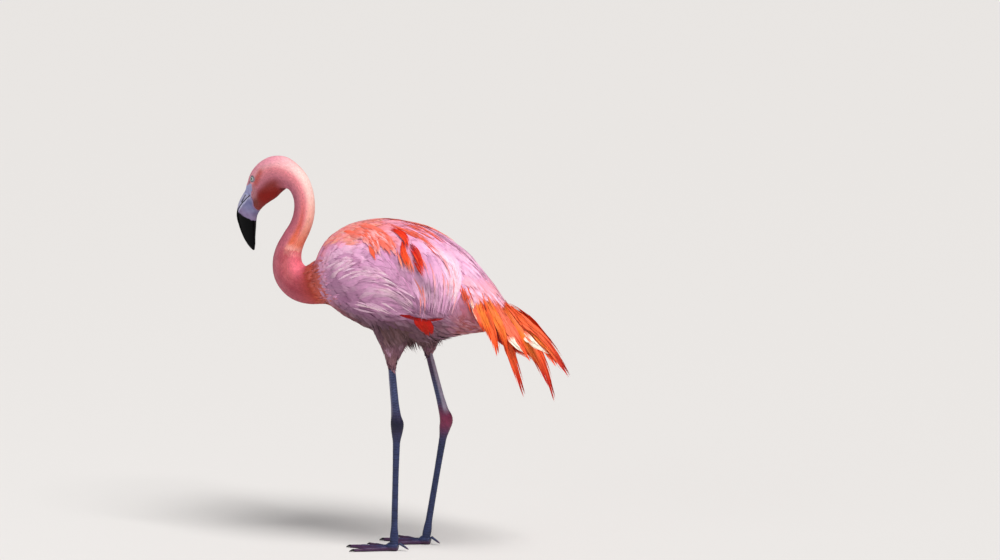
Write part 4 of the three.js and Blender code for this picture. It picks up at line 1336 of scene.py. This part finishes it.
# The guide lines of each tract: four marks, back and up, back and up, along each line.
GUIDES = {
    "sweeps": [
        (-139, 487, -117, 487, -94, 491, -74, 490), (-137, 467, -111, 472, -86, 482, -66, 484),
        (-128, 453, -100, 456, -71, 465, -49, 467), (-117, 439, -83, 445, -49, 456, -9, 453),
        (-103, 428, -66, 433, -32, 436, 8, 422), (-80, 411, -49, 416, -15, 416, 25, 405),
        (-52, 399, -26, 402, 2, 402, 30, 396),
    ],
    "covert": [
        (-70, 510, -46, 505, -24, 490, -8, 470), (-72, 492, -44, 488, -16, 472, 4, 450),
        (-60, 474, -30, 470, 0, 454, 22, 430), (-46, 458, -14, 452, 16, 434, 40, 410),
    ],
    "mantle": [
        (-88, 557, -66, 557, -43, 555, -20, 550), (-117, 544, -91, 547, -66, 544, -40, 535),
        (-134, 527, -111, 533, -86, 531, -60, 523), (-142, 510, -122, 517, -100, 518, -77, 513),
    ],
    "drape": [
        (14, 462, 31, 442, 39, 418, 35, 390), (2, 484, 20, 462, 33, 431, 38, 394),
        (31, 516, 50, 484, 59, 448, 52, 395), (48, 507, 67, 479, 76, 443, 68, 391),
        (62, 499, 82, 473, 90, 441, 79, 392), (73, 487, 92, 462, 97, 434, 89, 404),
    ],
    "drape_low": [
        (16, 428, 24, 417, 31, 405, 37, 393), (32, 430, 40, 418, 46, 406, 50, 395),
    ],
    "tertials": [
        (8, 555, 53, 538, 99, 507, 133, 473), (53, 538, 96, 510, 133, 473, 161, 436),
        (82, 518, 118, 484, 150, 448, 178, 411), (-15, 547, 31, 527, 67, 499, 99, 462),
        (25, 524, 59, 499, 90, 467, 116, 433), (59, 496, 87, 467, 113, 439, 133, 414),
    ],
    "hood": [
        (31, 523, 64, 500, 83, 470, 77, 419), (41, 517, 74, 494, 92, 463, 83, 414),
        (45, 520, 79, 494, 97, 459, 90, 411),
    ],
    "lobe_1": [
        (-127, 465, -110, 479, -92, 488, -72, 494), (-124, 453, -106, 466, -88, 476, -68, 482),
    ],
    "lobe_2": [
        (-95, 453, -75, 468, -43, 469, -11, 456), (-92, 441, -72, 452, -44, 455, -14, 446),
    ],
    "lobe_3": [
        (-80, 418, -57, 439, -20, 439, 21, 418), (-76, 406, -54, 424, -20, 426, 18, 408),
    ],
    "lights": [
        (-144, 467, -127, 475, -105, 485, -77, 495), (-137, 459, -117, 469, -97, 479, -74, 483),
        (-120, 439, -98, 455, -67, 467, -37, 468), (-105, 446, -80, 460, -49, 467, -10, 458),
        (-80, 443, -52, 449, -20, 444, 12, 422), (-32, 446, -3, 433, 22, 415, 52, 397),
        (-105, 421, -74, 422, -40, 411, -12, 395), (-88, 408, -60, 399, -37, 396, -6, 395),
    ],
    "scapulars": [
        (-80, 548, -52, 538, -23, 523, -6, 496), (-71, 541, -46, 531, -20, 516, -3, 493),
        (-80, 535, -60, 530, -46, 516, -33, 484), (-105, 535, -83, 533, -60, 524, -46, 507),
    ],
    "back_lines": [
        (-49, 557, -12, 545, 25, 527, 62, 504), (-37, 551, -3, 538, 28, 523, 56, 505),
        (8, 552, 31, 542, 53, 528, 81, 505), (-15, 555, 19, 544, 53, 530, 82, 510),
        (25, 524, 45, 510, 62, 490, 79, 476),
    ],
    "top_lines": [
        (-62, 556, -22, 559, 20, 555, 62, 537), (-44, 554, 0, 556, 42, 547, 86, 522),
    ],
    "rump_lines": [
        (97, 452, 104, 430, 110, 408, 118, 384), (112, 455, 122, 432, 134, 408, 146, 380),
    ],
    "streak_one": [
        (-24, 539, -8, 531, 6, 519, 11, 500), (-18, 542, -1, 532, 12, 518, 16, 500),
    ],
    "streak_low": [
        (1, 522, 2, 504, 6, 489, 13, 472), (7, 518, 9, 502, 13, 488, 18, 472),
    ],
    "streak_two": [
        (19, 489, 25, 478, 32, 467, 40, 454), (13, 514, 23, 502, 33, 484, 42, 453),
        (17, 514, 28, 502, 37, 482, 45, 451),
    ],
    "streak_three": [
        (8, 507, 15, 490, 22, 473, 28, 455), (-3, 513, 1, 496, 8, 476, 14, 462),
    ],
    "red_line": [
        (-6, 398, 22, 392, 48, 389, 80, 392), (-4, 396, 22, 390, 48, 387, 78, 390),
    ],
    "red_patch": [
        (19, 394, 25, 386, 31, 377, 38, 367), (32, 394, 37, 384, 43, 373, 48, 361),
        (47, 393, 50, 384, 53, 375, 55, 366),
    ],
    "collar": [
        (-170, 478, -156, 482, -142, 488, -126, 494), (-166, 458, -152, 462, -138, 466, -122, 470),
        (-160, 436, -146, 439, -132, 443, -116, 448), (-146, 416, -132, 419, -118, 420, -102, 422),
        (-130, 400, -117, 401, -103, 400, -88, 397),
    ],
    "fluff": [
        (-34, 380, -28, 368, -21, 355, -14, 342), (-14, 382, -8, 368, 0, 352, 8, 336),
        (8, 380, 14, 366, 21, 350, 28, 333), (30, 380, 35, 366, 40, 352, 46, 337),
        (50, 380, 54, 371, 60, 361, 66, 353),
    ],
    "coverts": [
        (84, 462, 102, 442, 118, 420, 130, 396), (96, 470, 118, 452, 136, 430, 152, 404),
        (112, 470, 134, 450, 156, 424, 174, 396), (128, 466, 152, 440, 176, 410, 196, 386),
    ],
    "quills": [
        (100, 448, 107, 436, 120, 411, 131, 384), (106, 440, 112, 430, 124, 408, 136, 386),
    ],
}
GUIDES["drape_shafts"] = GUIDES["drape"]

VIVID = (mix(ORANGE, RED, 0.6), RED)
LILACS, PALES = (LILAC, PALE_LILAC), (PALE_LILAC, WHITE_PINK)
STREAK = dict(slot="plumage_orange", white=0.0, barbs=5, jitter=1.8, point=0.3, curl=-0.5)
HAIRS = dict(white=0.0, barbs=3, jitter=2.6, curl=-0.4)
# Tracts of long feathers: name, count, shares of the guide that one takes, half width, heights of root and
# tip, two colours of the roots and two of the tips, seed and what else it needs.
TRACTS = [
    ("sweeps", 150, (0.55, 0.9), 5.0, (0.2, 3.0), (LILAC, mix(*LILACS, 0.6)), (mix(*LILACS, 0.5), PALE_LILAC),
     100, dict(tone=0.09)),
    ("covert", 70, (0.5, 0.85), 5.0, (0.2, 3.4), LILACS, (mix(*LILACS, 0.6), PALE_LILAC), 105,
     dict(white=0.25, tone=0.09)),
    ("mantle", 150, (0.35, 0.55), 5.4, (0.2, 2.2), (SALMON, PALE_PINK), (SALMON, mix(SALMON, CREAM, 0.4)),
     110, dict(white=0.15, tone=0.08)),
    ("drape", 120, (0.6, 0.95), 4.4, (0.6, 6.5), LILACS, PALES, 120, dict(white=0.35, tone=0.08, curl=0.6)),
    # Violet feathers at the drape's lower end: painted shade below it.
    ("drape_low", 26, (0.5, 0.9), 2.6, (1.2, 7.0), (PALE_LILAC, LILAC), (VIOLET_SHADE, LILAC), 126,
     dict(white=0.1, tone=0.08, point=0.4, curl=-0.2)),
    ("tertials", 130, (0.5, 0.85), 5.2, (0.2, 3.0), (PALE_PINK, PALE_LILAC), PALES, 130,
     dict(white=0.4, tone=0.06)),
    # The hood's pale tips along the drape's rounded edge are painted highlight.
    ("hood", 70, (0.6, 0.95), 4.2, (0.8, 7.2), (PALE_LILAC, PALE_PINK), (WHITE_PINK, SUNLIT), 146,
     dict(white=0.3, jitter=3.0, curl=0.3)),
    # The lobes' pale tips are partly painted highlight on their tops.
    *[(f"lobe_{k}", 26, (0.4, 0.8), 3.8, (0.0, 4.6), LILACS, (PALE_LILAC, mix(WHITE_PINK, SUNLIT, 0.6)),
       199 + k, dict(white=0.6, tone=0.07, point=0.4, barbs=9)) for k in (1, 2, 3)],
    # Thin pale strands over the front of the wing: painted highlights.
    ("lights", 44, (0.5, 0.9), 1.5, (0.0, 4.0), PALES, (WHITE_PINK, SUNLIT), 142,
     dict(white=0.3, barbs=5, jitter=6.0, point=0.3)),
    ("drape_shafts", 12, (0.35, 0.6), 0.9, (2.0, 7.6), (PALE_PINK, SALMON), (SALMON, WHITE_PINK), 124,
     dict(white=0.0, barbs=3, curl=-0.3)),
    ("scapulars", 130, (0.35, 0.6), 2.8, (0.4, 4.0), (SALMON, mix(SALMON, ORANGE, 0.8)),
     (ORANGE, mix(PALE_PINK, CREAM, 0.3)), 140, dict(white=0.1, barbs=5, jitter=5.0, curl=-0.4)),
    ("back_lines", 32, (0.4, 0.75), 0.55, (0.8, 3.4), (SALMON, mix(ORANGE, DARK_RED, 0.4)), (SALMON, ORANGE),
     150, {**HAIRS, "curl": -0.5}),
    ("top_lines", 34, (0.3, 0.6), 0.8, (0.4, 2.6), (SALMON, RUST), (SALMON, RUST), 154, HAIRS),
    ("rump_lines", 26, (0.3, 0.6), 0.8, (0.6, 4.4), (SALMON, ORANGE), (RUST, ORANGE), 156,
     {**HAIRS, "jitter": 3.0}),
    ("streak_one", 18, (0.6, 0.95), 1.4, (1.0, 6.2), VIVID, (RED, ORANGE), 160, STREAK),
    ("streak_low", 16, (0.6, 0.95), 1.3, (1.2, 8.0), VIVID, (ORANGE, ORANGE), 162, {**STREAK, "jitter": 1.6}),
    ("streak_two", 18, (0.65, 0.95), 1.1, (1.4, 8.4), (DARK_RED, RED), (RED, ORANGE), 165,
     {**STREAK, "point": 0.35}),
    ("streak_three", 10, (0.6, 0.95), 1.2, (0.8, 6.4), (SALMON, ORANGE), (mix(ORANGE, CREAM, 0.4), ORANGE),
     168, {**STREAK, "jitter": 3.0}),
    ("red_line", 60, (0.12, 0.30), 0.6, (0.6, 3.6), (DARK_RED, DARK_RED), (DARK_RED, RED), 170,
     {**STREAK, "barbs": 3, "jitter": 1.6}),
    ("red_patch", 64, (0.6, 1.0), 1.7, (0.6, 3.6), (RED, RED), (RED, mix(ORANGE, RED, 0.7)), 175,
     {**STREAK, "barbs": 7, "jitter": 2.0, "point": 0.6, "curl": -0.4}),
    ("collar", 260, (0.25, 0.5), 1.9, (0.0, 1.6), (NECK_BASE, mix(ROSE, PALE_LILAC, 0.5)),
     (mix(NECK_BASE, SALMON, 0.35), PALE_LILAC), 185, dict(white=0.1, barbs=5, tone=0.06, graded=True)),
    ("fluff", 210, (0.55, 1.0), 2.6, (0.2, 3.0), (SHADE_PINK, FLUFF_PALE), (SHADE_PINK, FLUFF_PALE), 195,
     dict(white=0.12, barbs=5, tone=0.1, jitter=7.0, point=0.3, loose=22.0)),
    ("coverts", 80, (0.4, 0.85), 3.4, (0.4, 5.6), (PALE_PINK, PALE_LILAC),
     (mix(PALE_PINK, SALMON, 0.5), WHITE_PINK), 190, dict(white=0.3, tone=0.08, point=0.4)),
    ("quills", 3, (0.8, 1.0), 1.1, (1.0, 5.0), (WHITE_PINK, WHITE_PINK), (WHITE_PINK, CREAM), 180,
     dict(white=0.5, barbs=5, point=0.3)),
]


def long_tracts(side, sign):
    for name, *values, options in TRACTS:
        tract(name, side, sign, *values, **options)


# The long plumes of the folded wing: four places [back, up] from root to tip, how far out from the middle
# the tip hangs, how many strands, how far they spread, a strand's half width, and its colours by name: the
# root's and the tip's.
PLUMES = [
    ([(168, 415), (207, 386), (246, 349), (284, 290)], 27, 62, 7.5, 1.7, "orange", "dark"),
    ([(178, 406), (216, 375), (248, 339), (282, 294)], 30, 40, 5.5, 1.6, "warm", "dark"),
    ([(186, 396), (226, 361), (246, 334), (262, 309)], 29, 44, 6.0, 1.6, "orange", "plain"),
    ([(166, 414), (207, 368), (236, 322), (259, 250)], 33, 66, 6.5, 1.7, "orange", "dark"),
    ([(160, 416), (197, 371), (226, 327), (250, 274)], 36, 46, 7.0, 1.6, "warm", "dark"),
    ([(142, 430), (170, 375), (188, 322), (208, 257)], 40, 72, 6.5, 1.7, "orange", "dark"),
    ([(128, 436), (146, 394), (157, 361), (163, 326)], 42, 62, 6.5, 1.6, "orange", "plain"),
    ([(136, 432), (162, 389), (175, 358), (181, 332)], 39, 50, 6.5, 1.6, "warm", "plain"),
    ([(150, 423), (180, 380), (199, 351), (219, 317)], 37, 60, 8.0, 1.7, "rose", "plain"),
    ([(124, 434), (136, 402), (146, 375), (154, 349)], 43, 46, 5.5, 1.4, "warm", "plain"),
    ([(120, 428), (128, 404), (135, 386), (142, 366)], 44, 34, 5.0, 1.3, "rose", "plain"),
    ([(184, 392), (207, 366), (226, 346), (250, 330)], 46, 15, 4.5, 2.6, "rose", "white"),
    ([(168, 392), (180, 366), (191, 348), (208, 332)], 48, 12, 3.5, 2.4, "rose", "white"),
    ([(117, 428), (121, 412), (126, 398), (131, 384)], 47, 7, 1.6, 1.3, "pale", "white"),
]
# The right side's plumes lie this much further ahead and lower, for each length out from the middle.
RIGHT_SHIFT = np.array([0.0, -0.73, -0.32])
FULL_SHARE = 0.35  # of a plume's strands run on to its tip


def plumes(side, sign, seed):
    """The long orange plumes that hang from the folded wing over the tail."""
    rng = np.random.default_rng(seed)
    shares, gap = steps(12), steps(10)
    rows, outs, halves, bases, ends, kinds = [], [], [], [], [], []
    for guide, out, count, wide, half, root, tip in PLUMES:
        places = curve(np.array(guide, float), shares)
        from_middle = max(surface_point(*guide[0], 1)[0], 2.0)
        aways = from_middle + (out - from_middle) * shares
        line = np.array([side_place(b, u, away, 1) for (b, u), away in zip(places, aways)])
        across = unit(np.cross(np.gradient(line, axis=0), [0.93, 0.34, 0.16]))
        for k in range(count):
            full = k < count * FULL_SHARE
            begin = rng.uniform(0.0, 0.25)
            end = rng.uniform(0.95, 1.0) if full else rng.uniform(0.5, 0.95)
            aside = rng.uniform(-1, 1) * wide * (0.7 if full else 1.0)
            deep = rng.uniform(-3.0, 3.0)
            close = (1 - 0.85 * shares**1.3) if full else (1 - 0.3 * shares)
            strand = line + across * (aside * close)[:, None] + [1, 0.3, 0.2] * (deep * close)[:, None]
            strand = curve(strand, begin + (end - begin) * gap)
            if sign < 0:
                shift = RIGHT_SHIFT * (np.abs(strand[:, :1]) * ramp(gap, 0.0, 0.6)[:, None])
                strand = strand * [-1, 1, 1] + shift
            strand[:, 0] += sign * (6.2 * ramp(gap, 0.0, 0.3) - 1.8)
            lean = math.radians(rng.normal(30, 14))
            rows.append(strand)
            kinds.append(tip)
            outs.append([sign * math.cos(lean), rng.normal(0.3, 0.15), math.sin(lean)])
            halves.append(half * rng.uniform(0.75, 1.3))
            warm = rng.random()
            bases.append(mix(PLUME_ROOTS[root], PLUME_ROOTS["rose"], 0.45 * warm))
            glow = 0.0 if full or tip == "white" else 0.5 * warm
            ends.append(mix(PLUME_TIPS[tip], PLUME_ROOTS["orange"], glow))
    lines, halves, bases, ends = (np.array(v) for v in (rows, halves, bases, ends))
    outs = np.broadcast_to(unit(np.array(outs))[:, None], lines.shape)
    white = np.array(kinds) == "white"
    for label, chosen, looks in (
        ("plumes", ~white, dict(barbs=3, point=0.12, fill=1.3, fade=(0.60, 0.88))),
        ("plume_tips", white, dict(barbs=7, point=0.75, fill=1.7, fade=(0.40, 0.62))),
    ):
        spots, ups, wide, base, end = (v[chosen] for v in (lines, outs, halves, bases, ends))
        feathers(f"{label}_{side}", spots, ups, wide, np.zeros(spots.shape[:2]), base, end, "plumage_orange",
                 seed + 1, stations=8, ragged=0.2, tone=0.09, look=PLUME_LOOK, **looks)


def bezier(p0, p1, p2, p3, shares):
    t = shares[None, :, None]
    p0, p1, p2, p3 = (p[:, None] for p in (p0, p1, p2, p3))
    return (1 - t) ** 3 * p0 + 3 * (1 - t) ** 2 * t * p1 + 3 * (1 - t) * t**2 * p2 + t**3 * p3


def row_of(x, y, z):
    """A row of places, where a number alone is the same for all of them."""
    return np.stack(np.broadcast_arrays(x, y, z), axis=1).astype(float)


def fan(name, rows, outs, half, base, end, seed, slot, **looks):
    """A fan of long feathers from four rows of places, between which each feather bends."""
    lines = bezier(*rows, steps(10))
    n = len(lines)
    ups = np.broadcast_to(unit(outs)[:, None], lines.shape)
    base, end = np.tile(base, (n, 1)), np.tile(end, (n, 1))
    feathers(name, lines, ups, np.full(n, half), np.zeros(lines.shape[:2]), base, end, slot, seed, stations=7,
             look=PLUME_LOOK, **looks)


def tail_feathers():
    """A short fan of tail feathers, with black flight feathers tucked above it."""
    n = 12
    out = np.linspace(-1, 1, n)
    lift = (np.arange(n) % 2) * 0.8
    rows = (row_of(out * 8, 120, 402 - 3 * np.abs(out) + lift),
            row_of(out * 14, 170, 388 - 6 * out**2 + lift),
            row_of(out * 22, 215, 366 - 9 * out**2 + lift),
            row_of(out * 29, 262 - 16 * out**2, 348 - 9 * out**2 + lift))
    base = mix(PALE_PINK, ORANGE, 0.5)
    fan("tail_feathers", rows, row_of(out * 0.5, 0.4, 1), 9.0, base, PLUME_TIPS["plain"], 72, "plumage_pale",
        replaces=("tail",), point=0.7)
    step = steps(6)
    for side, sign in SIDES:
        rows = (row_of(sign * (22 - 4 * step), 112, 432 - 10 * step),
                row_of(sign * (18 - 4 * step), 160, 410 - 10 * step),
                row_of(sign * (15 - 4 * step), 196 + 6 * step, 388 - 8 * step),
                row_of(sign * (11 - 4 * step), 208 + 14 * step, 372 - 6 * step))
        outs = np.tile([sign * 0.8, 0.3, 0.5], (len(step), 1))
        fan(f"flight_tips_{side}", rows, outs, 6.5, FLIGHT_BLACK, FLIGHT_BLACK, 75, "plumage_orange",
            point=0.5)


# ---------------------------------------------------------------- bill, eyes, lids and claws
JAW_GAP = 0.35  # between the closing line and each jaw
BILL_END = 12 * SHARE_STEP
EYE_RINGS, EYE_SIDES = 90, 64
PUPIL, IRIS = (1.5, 1.75), (4.1, 4.6)  # where each ends, out from the eye's axis
LID_LONG, LID_TALL = 0.92, 1.04  # the eye's opening, as shares of the profile's distances
LID_CORNER = math.radians(-62)
# [distance out from the eye's axis, height along it] from the inner edge over the rim to under the skin.
LID_PROFILE = [(4.65, 4.2), (4.75, 4.9), (5.05, 5.15), (5.5, 4.95), (6.2, 4.2), (7.2, 3.2), (9.0, 1.2),
               (7.4, 0.8), (5.0, 2.6)]
# A claw's stations: past the toe's end, height and thickness.
CLAW_PROFILE = [(-1.2, 2.9, 1.05), (1.5, 3.0, 1.0), (4.5, 2.2, 0.7), (7.0, 1.1, 0.38), (8.2, 0.55, 0.16)]


def mouth_height(shares):
    """Where the mouth's closing line crosses each section of the bill, above the section's middle."""
    line = curve(np.array(MOUTH_LINE, float), steps(500))
    places = head_place(line[:, 0], line[:, 1])
    centre, tangent, _, dorsal = HEAD_NECK.frames(shares)
    away = places[None] - centre[:, None]
    along = np.abs((away * tangent[:, None]).sum(-1))
    return (away[np.arange(len(shares)), along.argmin(1)] * dorsal).sum(1)


def horn_end(angles):
    """The share at which the horn of the bill ends, for each angle round it."""
    tries = np.linspace(3 * SHARE_STEP, BILL_END, 300)
    s, a = np.meshgrid(tries, angles, indexing="ij")
    forward, up, _ = head_view(HEAD_NECK.at(s.ravel(), a.ravel()).reshape(*s.shape, 3))
    past = above(HORN_EDGE, forward, up) < 0
    ends = tries[np.where(past.any(0), past.argmax(0), len(tries) - 1)]
    for _ in range(4):
        ends = (np.roll(ends, 1) + 2 * ends + np.roll(ends, -1)) / 4
    return ends


def make_bill():
    angles = turns(BILL_SIDES)
    rings = steps(BILL_RINGS)
    shares = (rings[:, None] * horn_end(angles)[None, :]).ravel()
    table = np.linspace(0, BILL_END, 400)
    closing = np.interp(shares, table, mouth_height(table))
    sunk = -0.5 * np.repeat(ramp(rings, 0.965, 1.0), BILL_SIDES)
    for name, upper in (("bill_upper", True), ("bill_lower", False)):
        limits = {"low": closing + JAW_GAP} if upper else {"high": closing - JAW_GAP}
        points = HEAD_NECK.at(shares, np.tile(angles, BILL_RINGS), sunk, **limits)
        colours = horn_colour(points, upper)
        made, faces = closed_tube(bill_relief(points, upper).reshape(BILL_RINGS, BILL_SIDES, 3))
        tone = np.vstack([colours, colours[:1], colours[-1:]])
        piece = new_object(f"{name}_horn", made, faces, HORN_LOOK, tone)
        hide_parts(name, f"{name}_tip")


def bill_relief(points, upper):
    """The nostril's slit in the upper jaw and the lower jaw's bulging rim."""
    points = points.copy()
    forward, up, side = head_view(points)
    if upper:
        depth = smear(forward, up, NOSTRIL, 1.6, 1) ** 1.5 * 1.6
    else:
        depth = bell(above(MOUTH_LINE, forward, up), -1.6, 1.8) * -0.4
    points[:, :2] += (-np.sign(side) * depth)[:, None] * HEAD_LEFT
    return points


def horn_colour(points, upper):
    forward, up, _ = head_view(points)
    edge = above(BLACK_EDGE, forward, up) + 0.7 * ripple(points, 7, 9) + 0.35 * ripple(points, 2.5, 10)
    from_mouth = np.abs(above(MOUTH_LINE, forward, up))
    # The nostril's slit is painted black: painted shade inside it.
    slit = ramp(smear(forward, up, NOSTRIL, 1.5), 0.1, 0.6)
    rear = 1 - ramp(np.abs(above(HORN_EDGE, forward, up)), 0.5, 3.5)
    chin_highlight = 1 - ramp(from_segment(forward, up, *CHIN_HIGHLIGHT_MARK), 1.8, 4.0)
    mouth_rim = (HORN_WHITE, 0.85 * (1 - ramp(from_mouth, 2.6, 4.0)))
    return painted(
        HORN_PALE,
        (HORN_ROSE, 0.45 * ramp(edge, -20, -2)),
        (HORN_WHITE, clipped(0.10 + 0.09 * ripple(points, 11, 12))),
        *([(HORN_WHITE, 0.7), (BLACK, 0.92 * slit)] if upper else [mouth_rim]),
        # painted shade along the mouth's closing line
        (LEG_DARK, 0.9 * (1 - ramp(from_mouth, 0.5, 1.2))),
        (BARE_WHITE if upper else HORN_ROSE, 0.6 * rear),
        # the painted highlight along the chin's edge
        (CHIN_HIGHLIGHT, 0.9 * chin_highlight * (not upper)),
        (BLACK, ramp(edge, -0.6, 0.8)),
    )


def make_eyes():
    polar, turn = np.linspace(0.012, math.pi - 0.012, EYE_RINGS), turns(EYE_SIDES)
    radius = EYE_RADIUS * (1 + 0.05 * bell(polar, 0, 0.55))
    out = (radius * np.sin(polar))[:, None]
    heading = np.array([*HEADING, 0.0])
    for name, sign in SIDES:
        centre = head_place(EYE_FORWARD, EYE_UP, sign * EYE_SIDE)
        axis = unit(np.array([*(HEAD_LEFT * sign + HEADING * 0.16), 0.10]))
        ahead = unit(heading - axis * (heading @ axis))
        rise = np.cross(axis, ahead) * sign
        grid = (centre + (radius * np.cos(polar))[:, None, None] * axis
                + (out * np.cos(turn))[..., None] * ahead + (out * np.sin(turn))[..., None] * rise)
        points, faces = closed_tube(grid)
        away = points - centre
        off = np.linalg.norm(away - (away @ axis)[:, None] * axis, axis=1)
        spokes = 0.5 + 0.5 * np.sin(np.arctan2(away @ rise, away @ ahead) * 23 + 2 * np.sin(off * 3))
        colour = painted(
            IRIS_INNER,
            (IRIS_OUTER, 0.6 * ramp(off, 1.6, 4.2) + 0.2 * spokes),
            (BLACK, 1 - ramp(off, *PUPIL)),
            (BLACK, ramp(off, *IRIS)),
        )
        colour[away @ axis < 0] = BLACK
        eye = new_object(f"eyeball_{name}", points, faces, EYE_LOOK, colour)
        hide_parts(f"eye_{name}")
        make_lids(name, centre, axis, ahead, rise)


def make_lids(name, centre, axis, ahead, rise):
    """A thin fleshy ring round each eye, drawn out at its front lower corner."""
    turn = turns(72)
    corner = bell(np.angle(np.exp(1j * (turn - LID_CORNER))), 0, 0.38)
    grid = []
    for out, height in LID_PROFILE:
        reach = out * (1 + 0.16 * corner * (out < 6.5))
        x, y = reach * LID_LONG * np.cos(turn), reach * LID_TALL * np.sin(turn)
        crinkle = 0.09 * np.sin(turn * 19) * (out > 4.6) * (out < 7)
        sink = 0.9 * corner * (out < 6.5)
        high = (height + crinkle - sink)[:, None] * axis
        grid.append(centre + high + x[:, None] * ahead + y[:, None] * rise)
    grid = np.array(grid)
    rings, sides, _ = grid.shape
    i, j = np.meshgrid(np.arange(rings), np.arange(sides), indexing="ij")
    after, beside = (i + 1) % rings, (j + 1) % sides
    corners = [i * sides + j, i * sides + beside, after * sides + beside, after * sides + j]
    points, faces = grid.reshape(-1, 3), [np.stack(corners, axis=-1).reshape(-1, 4)]
    tones = [LID_DARK, mix(LID_DARK, LID_ROSE, 0.6), *[LID_ROSE] * 6, LID_DARK]
    colours = np.repeat(np.array(tones), sides, axis=0)
    new_object(f"eyelid_{name}", points, faced_out(points, faces), SKIN_LOOK, colours)


def make_claws():
    for name, sign in SIDES:
        for label, (root, way, length, half) in zip(TOES, toe_axes(name, sign)):
            wide = half * 0.4
            stations = []
            for extra, rise, size in CLAW_PROFILE:
                place = root + way * (length * 0.98 + extra)
                stations.append((*place, rise, wide * size, wide * size * 0.9, wide * size))
            grid = Form(stations).grid(steps(22), 20)
            grid[..., 2] = np.maximum(grid[..., 2], 0.02)
            points, faces = closed_tube(grid)
            tone = np.tile(CLAW, (len(points), 1))
            claw = new_object(f"claw_{label}_horn_{name}", points, faces, HORN_LOOK, tone)
            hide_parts(f"claw_{label}_{name}")


# ---------------------------------------------------------------- stage
FLOOR_HALF, FLOOR_DEPTH = 40.0, 0.0003
LIT_PLACE = Vector((0, 0.02, 0.40))


def make_stage():
    mesh = bpy.data.meshes.new("floor")
    corners = [(x * FLOOR_HALF, y * FLOOR_HALF, 0) for x, y in ((-1, -1), (1, -1), (1, 1), (-1, 1))]
    mesh.from_pydata(corners, [], [(0, 1, 2, 3)])
    paint = plain_material("floor_paint", Base_Color=(0.78, 0.78, 0.76, 1), Roughness=0.9,
                           Specular_IOR_Level=0.1)
    mesh.materials.append(paint)
    floor = link(bpy.data.objects.new("floor", mesh), (0, 0, -FLOOR_DEPTH))


def light(name, kind, place, energy, colour, **values):
    data = bpy.data.lights.new(name, kind)
    for key, value in {"energy": energy, "color": colour, **values}.items():
        setattr(data, key, value)
    aim(link(bpy.data.objects.new(name, data), place), LIT_PLACE - Vector(place))


def make_light():
    light("key", "SUN", (1.22, 1.84, 3.98), 3.1, (1.0, 0.965, 0.955), angle=math.radians(28))
    light("fill", "AREA", (3.0, -1.6, 1.6), 16, (0.90, 0.94, 1.0), size=2.4)
    world = bpy.data.worlds.new("studio")
    world.use_nodes = True
    background = world.node_tree.nodes["Background"].inputs
    background["Color"].default_value = (0.92, 0.90, 0.92, 1)
    background["Strength"].default_value = 0.24
    bpy.context.scene.world = world
    settings = bpy.context.scene.view_settings
    settings.view_transform = "Standard"
    settings.look = "None"


coat_head_and_neck()
coat_body()
coat_thighs()
for number, (side_name, side_sign) in enumerate(SIDES):
    long_tracts(side_name, side_sign)
    plumes(side_name, side_sign, 60 + number)
tail_feathers()
make_bill()
make_eyes()
make_claws()
make_stage()
make_light()
